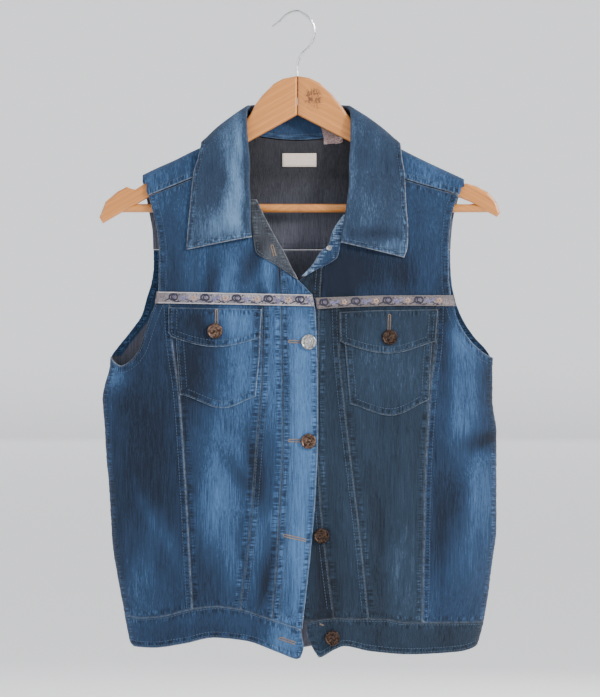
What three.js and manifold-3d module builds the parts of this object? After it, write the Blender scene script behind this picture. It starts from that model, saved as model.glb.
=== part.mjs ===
// A denim vest hanging on a wooden hanger, in millimetres, +Z up, seen from -Y.
// The origin is the inside top of the hook, where a rail bears.
import * as THREE from "three";
import { mergeVertices } from "three/addons/utils/BufferGeometryUtils.js";
import Module from "manifold-3d";

const wasm = await Module();
wasm.setup();

// Driving sizes, in millimetres.
const HANGER_WIDTH = 444;
const HANGER_THICKNESS = 12;
const WIRE_DIAMETER = 3;
const BAR_DIAMETER = 9.5;
const BUTTON_DIAMETER = 17;
const CLOTH = 1.5; // one wall of denim with its seam allowances
const COLLAR_CLOTH = 1.6;
const TRIM_CLOTH = 0.8;
const SEAM_GAP = 0.3;
const OVERLAY_GAP = 0.5; // between a panel and what is sewn on it
const SHOULDER_RADIUS = 8.6; // the cloth's arch over a hanger arm
const ROLL_RADIUS = 2.2; // the collar's fold
const UNDERLAP = 2.2; // how far the lower front lies behind the upper one
const SECTION_POWER = 2.6; // how square the body's cross section is

// Outlines are given in the photograph's units, across from its left and down from its top.
// The hanger spans 400 of them, which sets their real size.
const HANGER_UNITS = 400;
const UNIT = HANGER_WIDTH / HANGER_UNITS;
const ORIGIN_ACROSS = 298;
const ORIGIN_DOWN = 12.5;
const toX = (across) => (across - ORIGIN_ACROSS) * UNIT;
const toZ = (down) => (ORIGIN_DOWN - down) * UNIT;

const COLOURS = {
  denim: { color: 0x4b6f95, roughness: 0.9, metalness: 0 },
  denim_inside: { color: 0x5a6b7d, roughness: 0.92, metalness: 0 },
  ribbon: { color: 0xbdb8b4, roughness: 0.6, metalness: 0 },
  label: { color: 0xe8e2d4, roughness: 0.8, metalness: 0 },
  wood: { color: 0xcd966a, roughness: 0.45, metalness: 0 },
  steel: { color: 0xa9abad, roughness: 0.25, metalness: 1 },
  bronze: { color: 0x5c4636, roughness: 0.4, metalness: 0.9 },
};

// A smooth curve through a table's rows of [at, value], held flat past its ends.
function curve(rows) {
  const slopes = rows.map((row, i) => {
    const before = rows[Math.max(i - 1, 0)];
    const after = rows[Math.min(i + 1, rows.length - 1)];
    const left = (row[1] - before[1]) / (row[0] - before[0] || 1);
    const right = (after[1] - row[1]) / (after[0] - row[0] || 1);
    if (i === 0) return right;
    if (i === rows.length - 1) return left;
    return left * right <= 0 ? 0 : (2 * left * right) / (left + right);
  });
  return (at) => {
    if (at <= rows[0][0]) return rows[0][1];
    const last = rows.length - 1;
    if (at >= rows[last][0]) return rows[last][1];
    const i = rows.findIndex((row) => row[0] > at) - 1;
    const span = rows[i + 1][0] - rows[i][0];
    const t = (at - rows[i][0]) / span;
    const rise = rows[i + 1][1] - rows[i][1];
    const bend = t * (1 - t) * span;
    return (
      rows[i][1] +
      rise * t * t * (3 - 2 * t) +
      bend * ((1 - t) * slopes[i] - t * slopes[i + 1])
    );
  };
}

const lerp = (a, b, t) => a + (b - a) * t;

function smooth(from, to, at) {
  const t = Math.min(1, Math.max(0, (at - from) / (to - from)));
  return t * t * (3 - 2 * t);
}

// The garment's side lines. Above the armholes they go on as the body's section would.
// Columns: down, across.
const leftSide = curve([
  [100, 122],
  [200, 118],
  [300, 112],
  [356, 110.5],
  [368, 109],
  [384, 104.5],
  [398, 102],
  [425, 104],
  [460, 106],
  [480, 108],
  [512, 110],
  [544, 112],
  [576, 117],
  [608, 123],
  [626, 126.5],
  [648, 131],
]);
const rightSide = curve([
  [100, 482],
  [200, 487],
  [300, 491],
  [360, 493],
  [400, 493],
  [432, 497],
  [528, 497],
  [560, 493],
  [592, 489],
  [616, 485],
  [640, 479],
  [655, 474],
]);

// Half depths of the body at its centre, in millimetres. Columns: down, depth.
const frontDepth = curve([
  [110, 13],
  [180, 18],
  [240, 24],
  [300, 30],
  [360, 36],
  [420, 42],
  [500, 46],
  [580, 46],
  [655, 38],
]);
const backDepth = curve([
  [110, 14],
  [180, 17],
  [260, 21],
  [360, 26],
  [460, 30],
  [580, 31],
  [655, 27],
]);

// The shoulder line, which the hanger arms carry. Columns: across, down.
const NECK_LEFT = 236;
const NECK_RIGHT = 362;
const shoulderLine = curve([
  [140.8, 175.8],
  [157, 168],
  [175, 160],
  [190, 152.4],
  [201, 147.2],
  [215, 138],
  [228, 128.5],
  [NECK_LEFT, 122.5],
  [NECK_RIGHT, 122.5],
  [372, 129.5],
  [385, 139.5],
  [400, 148.4],
  [423, 160],
  [440, 168],
  [456, 175.4],
  [466, 180],
]);

// Soft folds, as ridges above the surface or troughs below it, in photograph units.
// Columns: from across, from down, to across, to down, half width, height in millimetres.
const FRONT_FOLDS = [
  [205, 262, 203, 292, 9, -2.2],
  [190, 255, 188, 292, 8, 1.8],
  [236, 252, 240, 295, 10, 2.4],
  [252, 258, 255, 295, 7, -2],
  [218, 470, 176, 575, 22, 3.4],
  [150, 430, 172, 590, 20, -3],
  [142, 540, 150, 596, 14, 2.8],
  [235, 520, 250, 598, 12, -2.2],
  [372, 430, 385, 560, 20, -2.8],
  [342, 505, 372, 600, 9, 2.2],
  [400, 530, 376, 600, 10, 2.4],
  [462, 335, 470, 400, 20, 3],
  [492, 436, 455, 470, 11, -3.2],
  [466, 480, 452, 585, 18, 3.2],
];
const BACK_FOLDS = [
  [190, 290, 172, 400, 18, 3],
  [410, 300, 428, 410, 20, 2.6],
  [250, 330, 236, 560, 22, -2.6],
  [352, 360, 366, 580, 18, 2.4],
  [140, 420, 156, 590, 16, -2.4],
  [455, 430, 440, 590, 17, -2.6],
  [298, 270, 296, 420, 12, 1.8],
];

function foldHeight(folds, across, down) {
  let height = 0;
  for (const [fromX, fromY, toAcross, toDown, width, rise] of folds) {
    const dx = toAcross - fromX;
    const dy = toDown - fromY;
    const along = ((across - fromX) * dx + (down - fromY) * dy) / (dx * dx + dy * dy);
    const held = Math.min(1, Math.max(0, along));
    const off = Math.hypot(across - fromX - held * dx, down - fromY - held * dy);
    height += rise * Math.exp(-((off / width) ** 2));
  }
  return height;
}

const FRONT = -1;
const BACK = 1;
const SIDE_CLEARANCE = 0.2; // half of the gap between front and back at the side seams
const FALL_BELOW_SHOULDER = 90; // the depth grows to its full size over this height

// A point of the garment: out is how far it lies outside the main surface.
function bodyPoint(side, across, down, out = 0) {
  const left = leftSide(down);
  const right = rightSide(down);
  const centre = (left + right) / 2;
  const half = (right - left) / 2;
  const turn = Math.min(1, Math.max(-1, (across - centre) / half));
  const round = (1 - Math.abs(turn) ** SECTION_POWER) ** (1 / SECTION_POWER);
  const full = (side === FRONT ? frontDepth : backDepth)(down);
  const below = Math.max(0, (down - shoulderLine(across)) * UNIT);
  const arch = Math.min(1, below / SHOULDER_RADIUS);
  const near = SHOULDER_RADIUS * Math.sqrt(1 - (1 - arch) ** 2);
  const grown = smooth(0, FALL_BELOW_SHOULDER, below);
  const fold = foldHeight(side === FRONT ? FRONT_FOLDS : BACK_FOLDS, across, down);
  const flat = near * (1 - grown) + full * grown * round;
  const depth = flat + fold * round + out * lerp(1, round, grown);
  const x = toX(centre) + (half * UNIT + out) * turn;
  return new THREE.Vector3(x, side * (depth + SIDE_CLEARANCE), toZ(down));
}

// A point of the arch over a hanger arm, turned from the front (-90) to the back (90).
function archPoint(across, degrees, out) {
  const angle = THREE.MathUtils.degToRad(degrees);
  const radius = SHOULDER_RADIUS + out;
  const top = toZ(shoulderLine(across)) - SHOULDER_RADIUS;
  return new THREE.Vector3(
    toX(across),
    radius * Math.sin(angle),
    top + radius * Math.cos(angle),
  );
}

// A closed wall over a net of cells. A cell of the grid is left out where a corner is null.
function wallGeometry(grid) {
  const points = [];
  const index = new Map();
  const number = (corner) => {
    if (!index.has(corner)) {
      index.set(corner, points.length / 2);
      points.push(corner.outer, corner.inner);
    }
    return index.get(corner);
  };
  const cells = [];
  for (let i = 0; i + 1 < grid.length; i++)
    for (let j = 0; j + 1 < grid[i].length; j++) {
      const corners = [grid[i][j], grid[i + 1][j], grid[i + 1][j + 1], grid[i][j + 1]];
      if (corners.every(Boolean)) cells.push(corners.map(number));
    }
  const edges = new Set();
  for (const cell of cells)
    cell.forEach((a, k) => edges.add(a + "_" + cell[(k + 1) % 4]));
  const faces = [];
  const quad = (a, b, c, d) => faces.push(a, b, c, a, c, d);
  for (const [a, b, c, d] of cells) {
    quad(2 * a, 2 * b, 2 * c, 2 * d);
    quad(2 * d + 1, 2 * c + 1, 2 * b + 1, 2 * a + 1);
  }
  for (const edge of edges) {
    const [a, b] = edge.split("_").map(Number);
    if (!edges.has(b + "_" + a)) quad(2 * a, 2 * a + 1, 2 * b + 1, 2 * b);
  }
  const geometry = new THREE.BufferGeometry();
  geometry.setFromPoints(points);
  geometry.setIndex(faces);
  return facingOut(geometry);
}

// Turns the faces round if the closed mesh is inside out.
function facingOut(geometry) {
  const at = geometry.getAttribute("position");
  const index = geometry.index.array;
  const [a, b, c] = [new THREE.Vector3(), new THREE.Vector3(), new THREE.Vector3()];
  let volume = 0;
  for (let i = 0; i < index.length; i += 3) {
    a.fromBufferAttribute(at, index[i]);
    b.fromBufferAttribute(at, index[i + 1]);
    c.fromBufferAttribute(at, index[i + 2]);
    volume += a.dot(b.cross(c));
  }
  if (volume < 0)
    for (let i = 0; i < index.length; i += 3)
      [index[i + 1], index[i + 2]] = [index[i + 2], index[i + 1]];
  return geometry;
}

const even = (t) => t;
const denseAtStart = (t) => 1 - Math.cos((t * Math.PI) / 2);
const denseAtEnd = (t) => Math.sin((t * Math.PI) / 2);
const denseAtEnds = (t) => (1 - Math.cos(t * Math.PI)) / 2;

// A column's ends are found step by step, each step going a share of the way.
const MEET_STEPS = 30;
const MEET_SHARE = 0.7;

// A panel between two side curves (by down) and two end curves (by across).
function panelGeometry(spec) {
  const { side, left, right, top, bottom, columns, rows } = spec;
  const { spread = even, thick = CLOTH, shift = () => 0, gap = SEAM_GAP } = spec;
  const half = gap / 2 / UNIT;
  const meet = (ends, across, start) => {
    let down = start;
    for (let k = 0; k < MEET_STEPS; k++) down = lerp(down, ends(across(down)), MEET_SHARE);
    return down;
  };
  const grid = [];
  for (let i = 0; i <= columns; i++) {
    const t = spread(i / columns);
    const across = (down) => lerp(left(down) + half, right(down) - half, t);
    const from = meet(top, across, spec.nearTop) + half;
    const to = meet(bottom, across, spec.nearBottom) - half;
    const line = [];
    for (let j = 0; j <= rows; j++) {
      const down = lerp(from, to, j / rows);
      const out = shift(across(down), down);
      line.push({
        outer: bodyPoint(side, across(down), down, out),
        inner: bodyPoint(side, across(down), down, out - thick),
      });
    }
    grid.push(line);
  }
  return wallGeometry(grid);
}

const garment = new THREE.Group();

function add(name, geometry, finish, parent = garment) {
  const mesh = new THREE.Mesh(geometry, new THREE.MeshStandardMaterial(COLOURS[finish]));
  mesh.name = name;
  parent.add(mesh);
  return mesh;
}

const constant = (value) => () => value;

// Seam lines of the fronts. Columns: down, across.
const leftSideSeam = curve([[300, 170], [339, 172.7], [396, 180.4], [480, 186.4], [610, 193.5]]);
const leftPocketSeam = curve([[300, 263.6], [373, 262.2], [451, 256.2], [520, 251], [615, 239]]);
const leftPlacketSeam = curve([
  [262, 279.5],
  [310, 281.1],
  [442, 282.9],
  [512, 279.4],
  [563, 276.8],
  [615, 272.5],
]);
const leftFrontEdge = curve([
  [290, 311.5],
  [313, 315.6],
  [356, 317.3],
  [425, 318.2],
  [494, 315.6],
  [555, 310.4],
  [624, 302.7],
]);
const rightPlacketSeam = curve([
  [262, 323],
  [310, 320],
  [450, 318.5],
  [497, 320.6],
  [552, 325.9],
  [612, 333.6],
]);
const rightFrontEdge = curve([[280, 288], [400, 286], [497, 290], [552, 297], [612, 304]]);
const rightPocketSeam = curve([
  [300, 337.6],
  [349, 339.3],
  [396, 343.5],
  [479, 353.3],
  [544, 361],
  [613, 368],
]);
const rightSideSeam = curve([[300, 437], [343, 435.4], [382, 430.5], [479, 424.2], [616, 421.5]]);

// The yoke seams under the ribbon, and the waistband's edges. Columns: across, down.
const leftYokeSeam = curve([[157, 297.5], [235, 299], [312, 299.5]]);
const rightYokeSeam = curve([[286, 302.5], [341, 303.5], [376, 302], [455, 301]]);
const leftWaistTop = curve([
  [124, 614],
  [139, 616.8],
  [158, 615.5],
  [196, 607],
  [216, 604.7],
  [235, 606.6],
  [273, 618],
  [300, 627],
]);
const leftWaistBottom = curve([
  [129, 641],
  [135, 646],
  [152, 646.8],
  [184, 642.3],
  [214, 636.2],
  [245, 639],
  [279, 651],
  [298.6, 657.6],
  [303, 652],
]);
const rightWaistTop = curve([
  [305, 621],
  [334, 616.8],
  [384, 617.5],
  [404, 620.8],
  [482, 621.5],
]);
const rightWaistBottom = curve([
  [306, 640],
  [312, 648],
  [319, 656],
  [334, 648.3],
  [344, 644.5],
  [370, 649.6],
  [410, 652.9],
  [457, 650.9],
  [472, 647.6],
  [480, 642],
]);

// Armholes. The front ones by across, the back ones by down.
const leftArmholeFront = curve([
  [110, 356],
  [114, 361.5],
  [120.8, 365.5],
  [131.5, 360],
  [139.5, 349.4],
  [146.2, 331],
  [150.9, 316],
  [155.6, 305],
  [158.6, 297.6],
  [172, 297.6],
]);
const rightArmholeFront = curve([
  [438, 301.6],
  [451.2, 301.6],
  [456.7, 319],
  [467.8, 338],
  [479, 349.3],
  [488.6, 355.7],
  [494, 358],
]);
const leftYokeArmhole = curve([[190, 147], [210, 152.3], [230, 157], [250, 159.2], [298, 158.8]]);
const rightYokeArmhole = curve([[190, 460.5], [218, 451.1], [246, 448.7], [278, 448.7], [302, 451.8]]);
const leftArmholeBack = curve([
  [174, 140.8],
  [190, 144.5],
  [213, 149],
  [234, 152.3],
  [264, 152.9],
  [281, 150.9],
  [297, 146.2],
  [315, 140.9],
  [329, 131.5],
  [344, 119.5],
  [356, 110.5],
]);
const rightArmholeBack = curve([
  [176, 466],
  [200, 458],
  [222, 453],
  [250, 451],
  [278, 452],
  [300, 456],
  [320, 464],
  [338, 476],
  [350, 487],
  [360, 493],
]);
const LEFT_UNDERARM = 356;
const RIGHT_UNDERARM = 360;
const backLeftEdge = (down) => (down < LEFT_UNDERARM ? leftArmholeBack : leftSide)(down);
const backRightEdge = (down) => (down < RIGHT_UNDERARM ? rightArmholeBack : rightSide)(down);

// The lower front sinks behind the upper one towards its edge.
const UNDERLAP_FROM = 320;
const UNDERLAP_TO = 346;
const underlap = (across) => -UNDERLAP * (1 - smooth(UNDERLAP_FROM, UNDERLAP_TO, across));

const FRONT_ROWS = 16;
const lowerPanel = { side: FRONT, rows: FRONT_ROWS, nearTop: 300, nearBottom: 612 };

add("side_front_left", panelGeometry({
  ...lowerPanel,
  left: (down) => leftSide(down) - SEAM_GAP / 2 / UNIT,
  right: leftSideSeam,
  top: leftArmholeFront,
  bottom: leftWaistTop,
  columns: 10,
  spread: denseAtStart,
  nearTop: 350,
}), "denim");
add("pocket_panel_left", panelGeometry({
  ...lowerPanel,
  left: leftSideSeam,
  right: leftPocketSeam,
  top: leftYokeSeam,
  bottom: leftWaistTop,
  columns: 7,
}), "denim");
add("centre_front_left", panelGeometry({
  ...lowerPanel,
  left: leftPocketSeam,
  right: leftPlacketSeam,
  top: leftYokeSeam,
  bottom: leftWaistTop,
  columns: 3,
}), "denim");
add("side_front_right", panelGeometry({
  ...lowerPanel,
  left: rightSideSeam,
  right: (down) => rightSide(down) + SEAM_GAP / 2 / UNIT,
  top: rightArmholeFront,
  bottom: rightWaistTop,
  columns: 10,
  spread: denseAtEnd,
  nearTop: 330,
}), "denim");
add("pocket_panel_right", panelGeometry({
  ...lowerPanel,
  left: rightPocketSeam,
  right: rightSideSeam,
  top: rightYokeSeam,
  bottom: rightWaistTop,
  columns: 7,
  shift: underlap,
}), "denim");
add("centre_front_right", panelGeometry({
  ...lowerPanel,
  left: rightPlacketSeam,
  right: rightPocketSeam,
  top: rightYokeSeam,
  bottom: rightWaistTop,
  columns: 3,
  shift: underlap,
}), "denim");

// The button strips run up to the turned-out ends of the collar stand.
add("placket_over", panelGeometry({
  ...lowerPanel,
  left: leftPlacketSeam,
  right: leftFrontEdge,
  top: curve([[279, 267.5], [290, 274], [299, 281], [312, 294.5]]),
  bottom: leftWaistTop,
  columns: 4,
  rows: FRONT_ROWS + 2,
  nearTop: 280,
}), "denim");
add("placket_under", panelGeometry({
  ...lowerPanel,
  left: rightFrontEdge,
  right: rightPlacketSeam,
  top: curve([[287, 291], [300, 280], [311, 271], [323, 265]]),
  bottom: curve([[286, 622], [334, 616.8]]),
  columns: 4,
  rows: FRONT_ROWS + 2,
  shift: underlap,
  nearTop: 280,
}), "denim");

// Front yokes, from the forward shoulder seams down to the ribbon.
const leftForwardSeam = curve([[146, 196.6], [149.4, 195.6], [194.4, 178], [247, 157]]);
const rightForwardSeam = curve([[350, 158], [404.5, 179.8], [457.9, 195.2], [462, 196.4]]);
const leftNeckline = curve([
  [155, 243],
  [180, 246],
  [215, 251.5],
  [240, 255.5],
  [254, 264],
  [266, 278],
  [299, 280.8],
]);
const rightNeckline = curve([
  [155, 355],
  [180, 352],
  [215, 346],
  [240, 339],
  [256, 331],
  [266, 323.5],
  [302, 320.6],
]);
add("front_yoke_left", panelGeometry({
  side: FRONT,
  left: leftYokeArmhole,
  right: leftNeckline,
  top: leftForwardSeam,
  bottom: leftYokeSeam,
  columns: 12,
  rows: 12,
  nearTop: 180,
  nearBottom: 299,
}), "denim");
add("front_yoke_right", panelGeometry({
  side: FRONT,
  left: rightNeckline,
  right: rightYokeArmhole,
  top: rightForwardSeam,
  bottom: rightYokeSeam,
  columns: 12,
  rows: 12,
  shift: underlap,
  nearTop: 180,
  nearBottom: 302,
}), "denim");

// The back yoke: a band behind the neck and a flap over each shoulder to the forward seam.
const YOKE_BACK_SEAM = 249.5;
const backNeckline = curve([
  [NECK_LEFT, 122.5],
  [245, 130],
  [262, 137.5],
  [298, 140.5],
  [334, 137.5],
  [353, 130],
  [NECK_RIGHT, 122.5],
]);
const SHOULDER_COLUMNS = 7;
const NECK_COLUMNS = 10;
const FLAP_ROWS = 2;
const ARCH_TURNS = [-90, -45, 0, 45, 90];
const YOKE_BACK_ROWS = 6;
// A flap's columns lie straight over the arm, spaced as the edges are at these heights.
const ARCH_AT_DOWN = 182;
const SEAM_AT_DOWN = 190;
const ARCH_FALL = 8; // the shoulder arch's height, in photograph units

function yokeLine(t, zone) {
  const edges = {
    left: [leftArmholeBack, constant(NECK_LEFT), leftYokeArmhole],
    neck: [constant(NECK_LEFT), constant(NECK_RIGHT), null],
    right: [constant(NECK_RIGHT), rightArmholeBack, rightYokeArmhole],
  }[zone];
  const across = (down) => lerp(edges[0](down), edges[1](down), t);
  const corner = (side, x, down) => ({
    outer: bodyPoint(side, x, down, 0),
    inner: bodyPoint(side, x, down, -CLOTH),
  });
  const line = [];
  if (zone === "neck") {
    for (let k = 0; k < FLAP_ROWS + ARCH_TURNS.length - 1; k++) line.push(null);
    const x = across(0);
    line.push(corner(BACK, x, backNeckline(x)));
  } else {
    const seam = zone === "left" ? leftForwardSeam : rightForwardSeam;
    const topX = across(ARCH_AT_DOWN);
    const frontX = (down) =>
      zone === "left"
        ? lerp(leftYokeArmhole(down), NECK_LEFT, t)
        : lerp(NECK_RIGHT, rightYokeArmhole(down), t);
    const start = seam(frontX(SEAM_AT_DOWN)) - 3 * SEAM_GAP;
    const archEnd = shoulderLine(topX) + SHOULDER_RADIUS / UNIT;
    for (let k = 0; k < FLAP_ROWS; k++) {
      const down = lerp(start, archEnd, k / FLAP_ROWS);
      line.push(corner(FRONT, frontX(down), down));
    }
    for (const turn of ARCH_TURNS)
      line.push({
        outer: archPoint(topX, turn, 0),
        inner: archPoint(topX, turn, -CLOTH),
      });
  }
  const archFoot = shoulderLine(across(ARCH_AT_DOWN)) + ARCH_FALL;
  const first = zone === "neck" ? backNeckline(across(0)) : archFoot;
  const last = YOKE_BACK_SEAM - SEAM_GAP / 2 / UNIT;
  for (let k = 1; k <= YOKE_BACK_ROWS; k++) {
    const down = lerp(first, last, k / YOKE_BACK_ROWS);
    line.push(corner(BACK, across(down), down));
  }
  return line;
}

const yokeLines = [];
for (let k = 0; k <= SHOULDER_COLUMNS; k++) yokeLines.push(yokeLine(k / SHOULDER_COLUMNS, "left"));
for (let k = 1; k < NECK_COLUMNS; k++) yokeLines.push(yokeLine(k / NECK_COLUMNS, "neck"));
for (let k = 0; k <= SHOULDER_COLUMNS; k++) yokeLines.push(yokeLine(k / SHOULDER_COLUMNS, "right"));
add("back_yoke", wallGeometry(yokeLines), "denim_inside");

// The back panel, one piece from the yoke seam to the waistband.
// Its waistband follows the front one's wave, a little higher, so that it stays hidden behind it.
const backWaistTop = curve([
  [122, 613],
  [158, 612],
  [196, 604],
  [216, 601.5],
  [240, 603.5],
  [273, 614],
  [300, 618],
  [340, 615],
  [400, 617],
  [486, 617],
]);
const backWaistBottom = curve([
  [130, 640],
  [152, 643],
  [184, 638.5],
  [214, 632.5],
  [245, 635.5],
  [279, 646],
  [298, 649],
  [340, 641.5],
  [370, 646],
  [410, 649],
  [457, 647],
  [478, 641],
]);
add("back_panel", panelGeometry({
  side: BACK,
  left: (down) => backLeftEdge(down) - SEAM_GAP / 2 / UNIT,
  right: (down) => backRightEdge(down) + SEAM_GAP / 2 / UNIT,
  top: constant(YOKE_BACK_SEAM),
  bottom: backWaistTop,
  columns: 22,
  rows: 20,
  spread: denseAtEnds,
  nearTop: 250,
  nearBottom: 620,
}), "denim_inside");

const BAND_LIFT = 0.25;
const band = { rows: 3, nearTop: 618, nearBottom: 646, thick: CLOTH + 0.5 };
add("waistband_left", panelGeometry({
  ...band,
  side: FRONT,
  left: (down) => leftSide(down) - SEAM_GAP / 2 / UNIT,
  right: curve([[600, 303.5], [628, 301.3], [645, 303.7], [658, 300]]),
  top: leftWaistTop,
  bottom: leftWaistBottom,
  columns: 20,
  spread: denseAtStart,
  shift: () => BAND_LIFT,
}), "denim");
add("waistband_right", panelGeometry({
  ...band,
  side: FRONT,
  left: curve([[610, 306.5], [630, 306.5], [644, 311.4], [656, 318.8]]),
  right: (down) => rightSide(down) + SEAM_GAP / 2 / UNIT,
  top: rightWaistTop,
  bottom: rightWaistBottom,
  columns: 20,
  spread: denseAtEnd,
  shift: (across) => BAND_LIFT + underlap(across),
}), "denim");
add("waistband_back", panelGeometry({
  ...band,
  side: BACK,
  left: (down) => leftSide(down) - SEAM_GAP / 2 / UNIT,
  right: (down) => rightSide(down) + SEAM_GAP / 2 / UNIT,
  top: backWaistTop,
  bottom: backWaistBottom,
  columns: 22,
  spread: denseAtEnds,
  shift: () => BAND_LIFT,
}), "denim_inside");

// Patch pockets and their pointed flaps, sewn on the pocket panels.
const POCKET_CLOTH = 1.2;
const pocketShift = (lift) => (across) => OVERLAY_GAP + POCKET_CLOTH + lift + underlap(across);
const FLAP_LIFT = OVERLAY_GAP + POCKET_CLOTH;
const overlay = { side: FRONT, thick: POCKET_CLOTH, gap: 0 };

add("pocket_left", panelGeometry({
  ...overlay,
  left: curve([[318, 176.5], [346, 177.8], [394, 181.3], [408, 182]]),
  right: curve([[318, 261], [346, 260.5], [396, 256.2], [408, 255.4]]),
  top: constant(320),
  bottom: curve([[181, 394.4], [186, 395.4], [223.5, 407.8], [253, 397.4], [257, 396.2]]),
  columns: 8,
  rows: 6,
  shift: () => OVERLAY_GAP + POCKET_CLOTH,
  nearTop: 320,
  nearBottom: 400,
}), "denim");
add("flap_left", panelGeometry({
  ...overlay,
  left: curve([[308, 170.8], [332, 170.9], [348, 171.4]]),
  right: curve([[308, 262.7], [338, 260.8], [348, 260.4]]),
  top: curve([[170, 307.6], [263, 309.4]]),
  bottom: curve([[171, 333], [174.5, 337], [218.3, 347], [258, 338.6], [261, 337]]),
  columns: 8,
  rows: 4,
  shift: () => FLAP_LIFT + OVERLAY_GAP + POCKET_CLOTH,
  nearTop: 308,
  nearBottom: 340,
}), "denim");
add("pocket_right", panelGeometry({
  ...overlay,
  left: curve([[322, 343], [350, 345], [400, 349], [416, 350]]),
  right: curve([[322, 432.6], [354, 430], [396, 427.7], [416, 427]]),
  top: constant(325),
  bottom: curve([[348, 403], [353, 404.6], [389.8, 415.2], [426, 400], [429, 398.6]]),
  columns: 8,
  rows: 6,
  shift: pocketShift(0),
  nearTop: 325,
  nearBottom: 406,
}), "denim");
add("flap_right", panelGeometry({
  ...overlay,
  left: curve([[312, 339], [340, 339.6], [354, 340]]),
  right: curve([[312, 435.4], [341, 433.4], [354, 433]]),
  top: curve([[338, 312.4], [376, 310.6], [436, 309.6]]),
  bottom: curve([[339, 340.6], [342, 343], [388.4, 353.5], [431, 342], [434, 341]]),
  columns: 8,
  rows: 4,
  shift: pocketShift(FLAP_LIFT),
  nearTop: 312,
  nearBottom: 346,
}), "denim");

// Floral ribbon sewn over the yoke seams.
const RIBBON_LIFT = 2 * OVERLAY_GAP + TRIM_CLOTH;
const ribbon = { side: FRONT, rows: 1, thick: TRIM_CLOTH, gap: 0, nearTop: 294, nearBottom: 306 };
add("ribbon_left", panelGeometry({
  ...ribbon,
  left: curve([[290, 158.6], [306, 156]]),
  right: curve([[292, 311.6], [307, 314]]),
  top: curve([[157, 291.6], [235, 293.2], [312, 294.8]]),
  bottom: curve([[156, 303.6], [235, 305], [314, 306.6]]),
  columns: 18,
  shift: () => RIBBON_LIFT,
}), "ribbon");
add("ribbon_right", panelGeometry({
  ...ribbon,
  left: curve([[296, 314.6], [310, 317]]),
  right: curve([[294, 450.8], [307, 454]]),
  top: curve([[312, 298], [341, 297], [376, 295.8], [452, 295.3]]),
  bottom: curve([[314, 309.6], [350, 307.4], [408, 306], [454, 306.4]]),
  columns: 16,
  shift: (across) => RIBBON_LIFT + underlap(across),
}), "ribbon");

// Blank label inside the back neck.
const inside = { side: BACK, gap: 0, thick: TRIM_CLOTH, shift: () => -CLOTH - OVERLAY_GAP };
add("neck_label", panelGeometry({
  ...inside,
  left: constant(282),
  right: constant(316.5),
  top: constant(153),
  bottom: constant(166.5),
  columns: 3,
  rows: 2,
  nearTop: 153,
  nearBottom: 166,
}), "label");

// Offsets a net of points along its own normals, to the side that the sign gives.
function offsetGrid(points, distance) {
  const rows = points.length;
  const columns = points[0].length;
  return points.map((line, i) => line.map((point, j) => {
    const along = new THREE.Vector3().subVectors(
      points[Math.min(i + 1, rows - 1)][j],
      points[Math.max(i - 1, 0)][j],
    );
    const across = new THREE.Vector3().subVectors(
      line[Math.min(j + 1, columns - 1)],
      line[Math.max(j - 1, 0)],
    );
    const normal = along.cross(across).normalize();
    return { outer: point, inner: point.clone().addScaledVector(normal, distance) };
  }));
}

// The collar, a row for each section from the left point round the neck to the right point.
// Columns: roll across, down and depth, edge across, down and depth (depths from the hanger's
// plane, + to the back, in millimetres; null lies on the front).
const COLLAR_LIFT = 7.2;
const EDGE_LIFT = 2.6;
const COLLAR_ROWS = [
  [253.5, 237.5, null, 188.6, 250, null],
  [253, 228, null, 188.7, 243, null],
  [252.5, 215, null, 190, 226, null],
  [252.3, 200, null, 191.6, 208, null],
  [251.4, 182, null, 193.2, 190, null],
  [250, 164, -20, 195.4, 172, null],
  [248.6, 147, -18.5, 198, 159, -15],
  [247.2, 130, -16.5, 200, 150, -13.5],
  [246.6, 116, -13, 201, 145.5, -11],
  [247, 106.5, -6, 201.2, 142.5, -5],
  [248.4, 104.4, 0, 201.8, 142, 2],
  [250.6, 104, 8, 205, 145, 12],
  [264, 103.8, 12.5, 220, 166, 20],
  [280, 104, 15.5, 250, 173, 22.5],
  [298, 104.2, 16.5, 298, 176, 23],
  [316, 104.2, 15.5, 346, 173, 22.5],
  [332, 104.2, 12.5, 380, 166, 20],
  [346.4, 104.2, 8, 396.4, 146, 12],
  [348.6, 104.6, 0, 399.6, 143, 2],
  [350, 106.5, -6, 400.2, 143.5, -5],
  [350.8, 116, -13, 400.6, 146.5, -11],
  [350.6, 130, -16.5, 401, 151, -13.5],
  [350.2, 147, -18.5, 402, 160, -15],
  [349, 164, -20, 403.2, 174, null],
  [347.6, 182, null, 404, 190, null],
  [345.6, 200, null, 404.8, 208, null],
  [343.4, 215, null, 406.4, 228, null],
  [341, 231, null, 406, 246, null],
  [339.6, 243, null, 402.5, 257.9, null],
];
const LIP_LENGTH = 7;
const ROLL_TURNS = [0, 45, 90, 135, 180];
const FALL_STEPS = [0.16, 0.36, 0.58, 0.8, 1];
const FALL_PUFF = 2;

function collarPoint(across, down, depth, lift) {
  if (depth === null) return bodyPoint(FRONT, across, down, lift);
  return new THREE.Vector3(toX(across), depth, toZ(down));
}

const collarEnds = COLLAR_ROWS.map(([rollX, rollDown, rollDepth, edgeX, edgeDown, edgeDepth]) => [
  collarPoint(rollX, rollDown, rollDepth, COLLAR_LIFT),
  collarPoint(edgeX, edgeDown, edgeDepth, EDGE_LIFT),
]);

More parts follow.
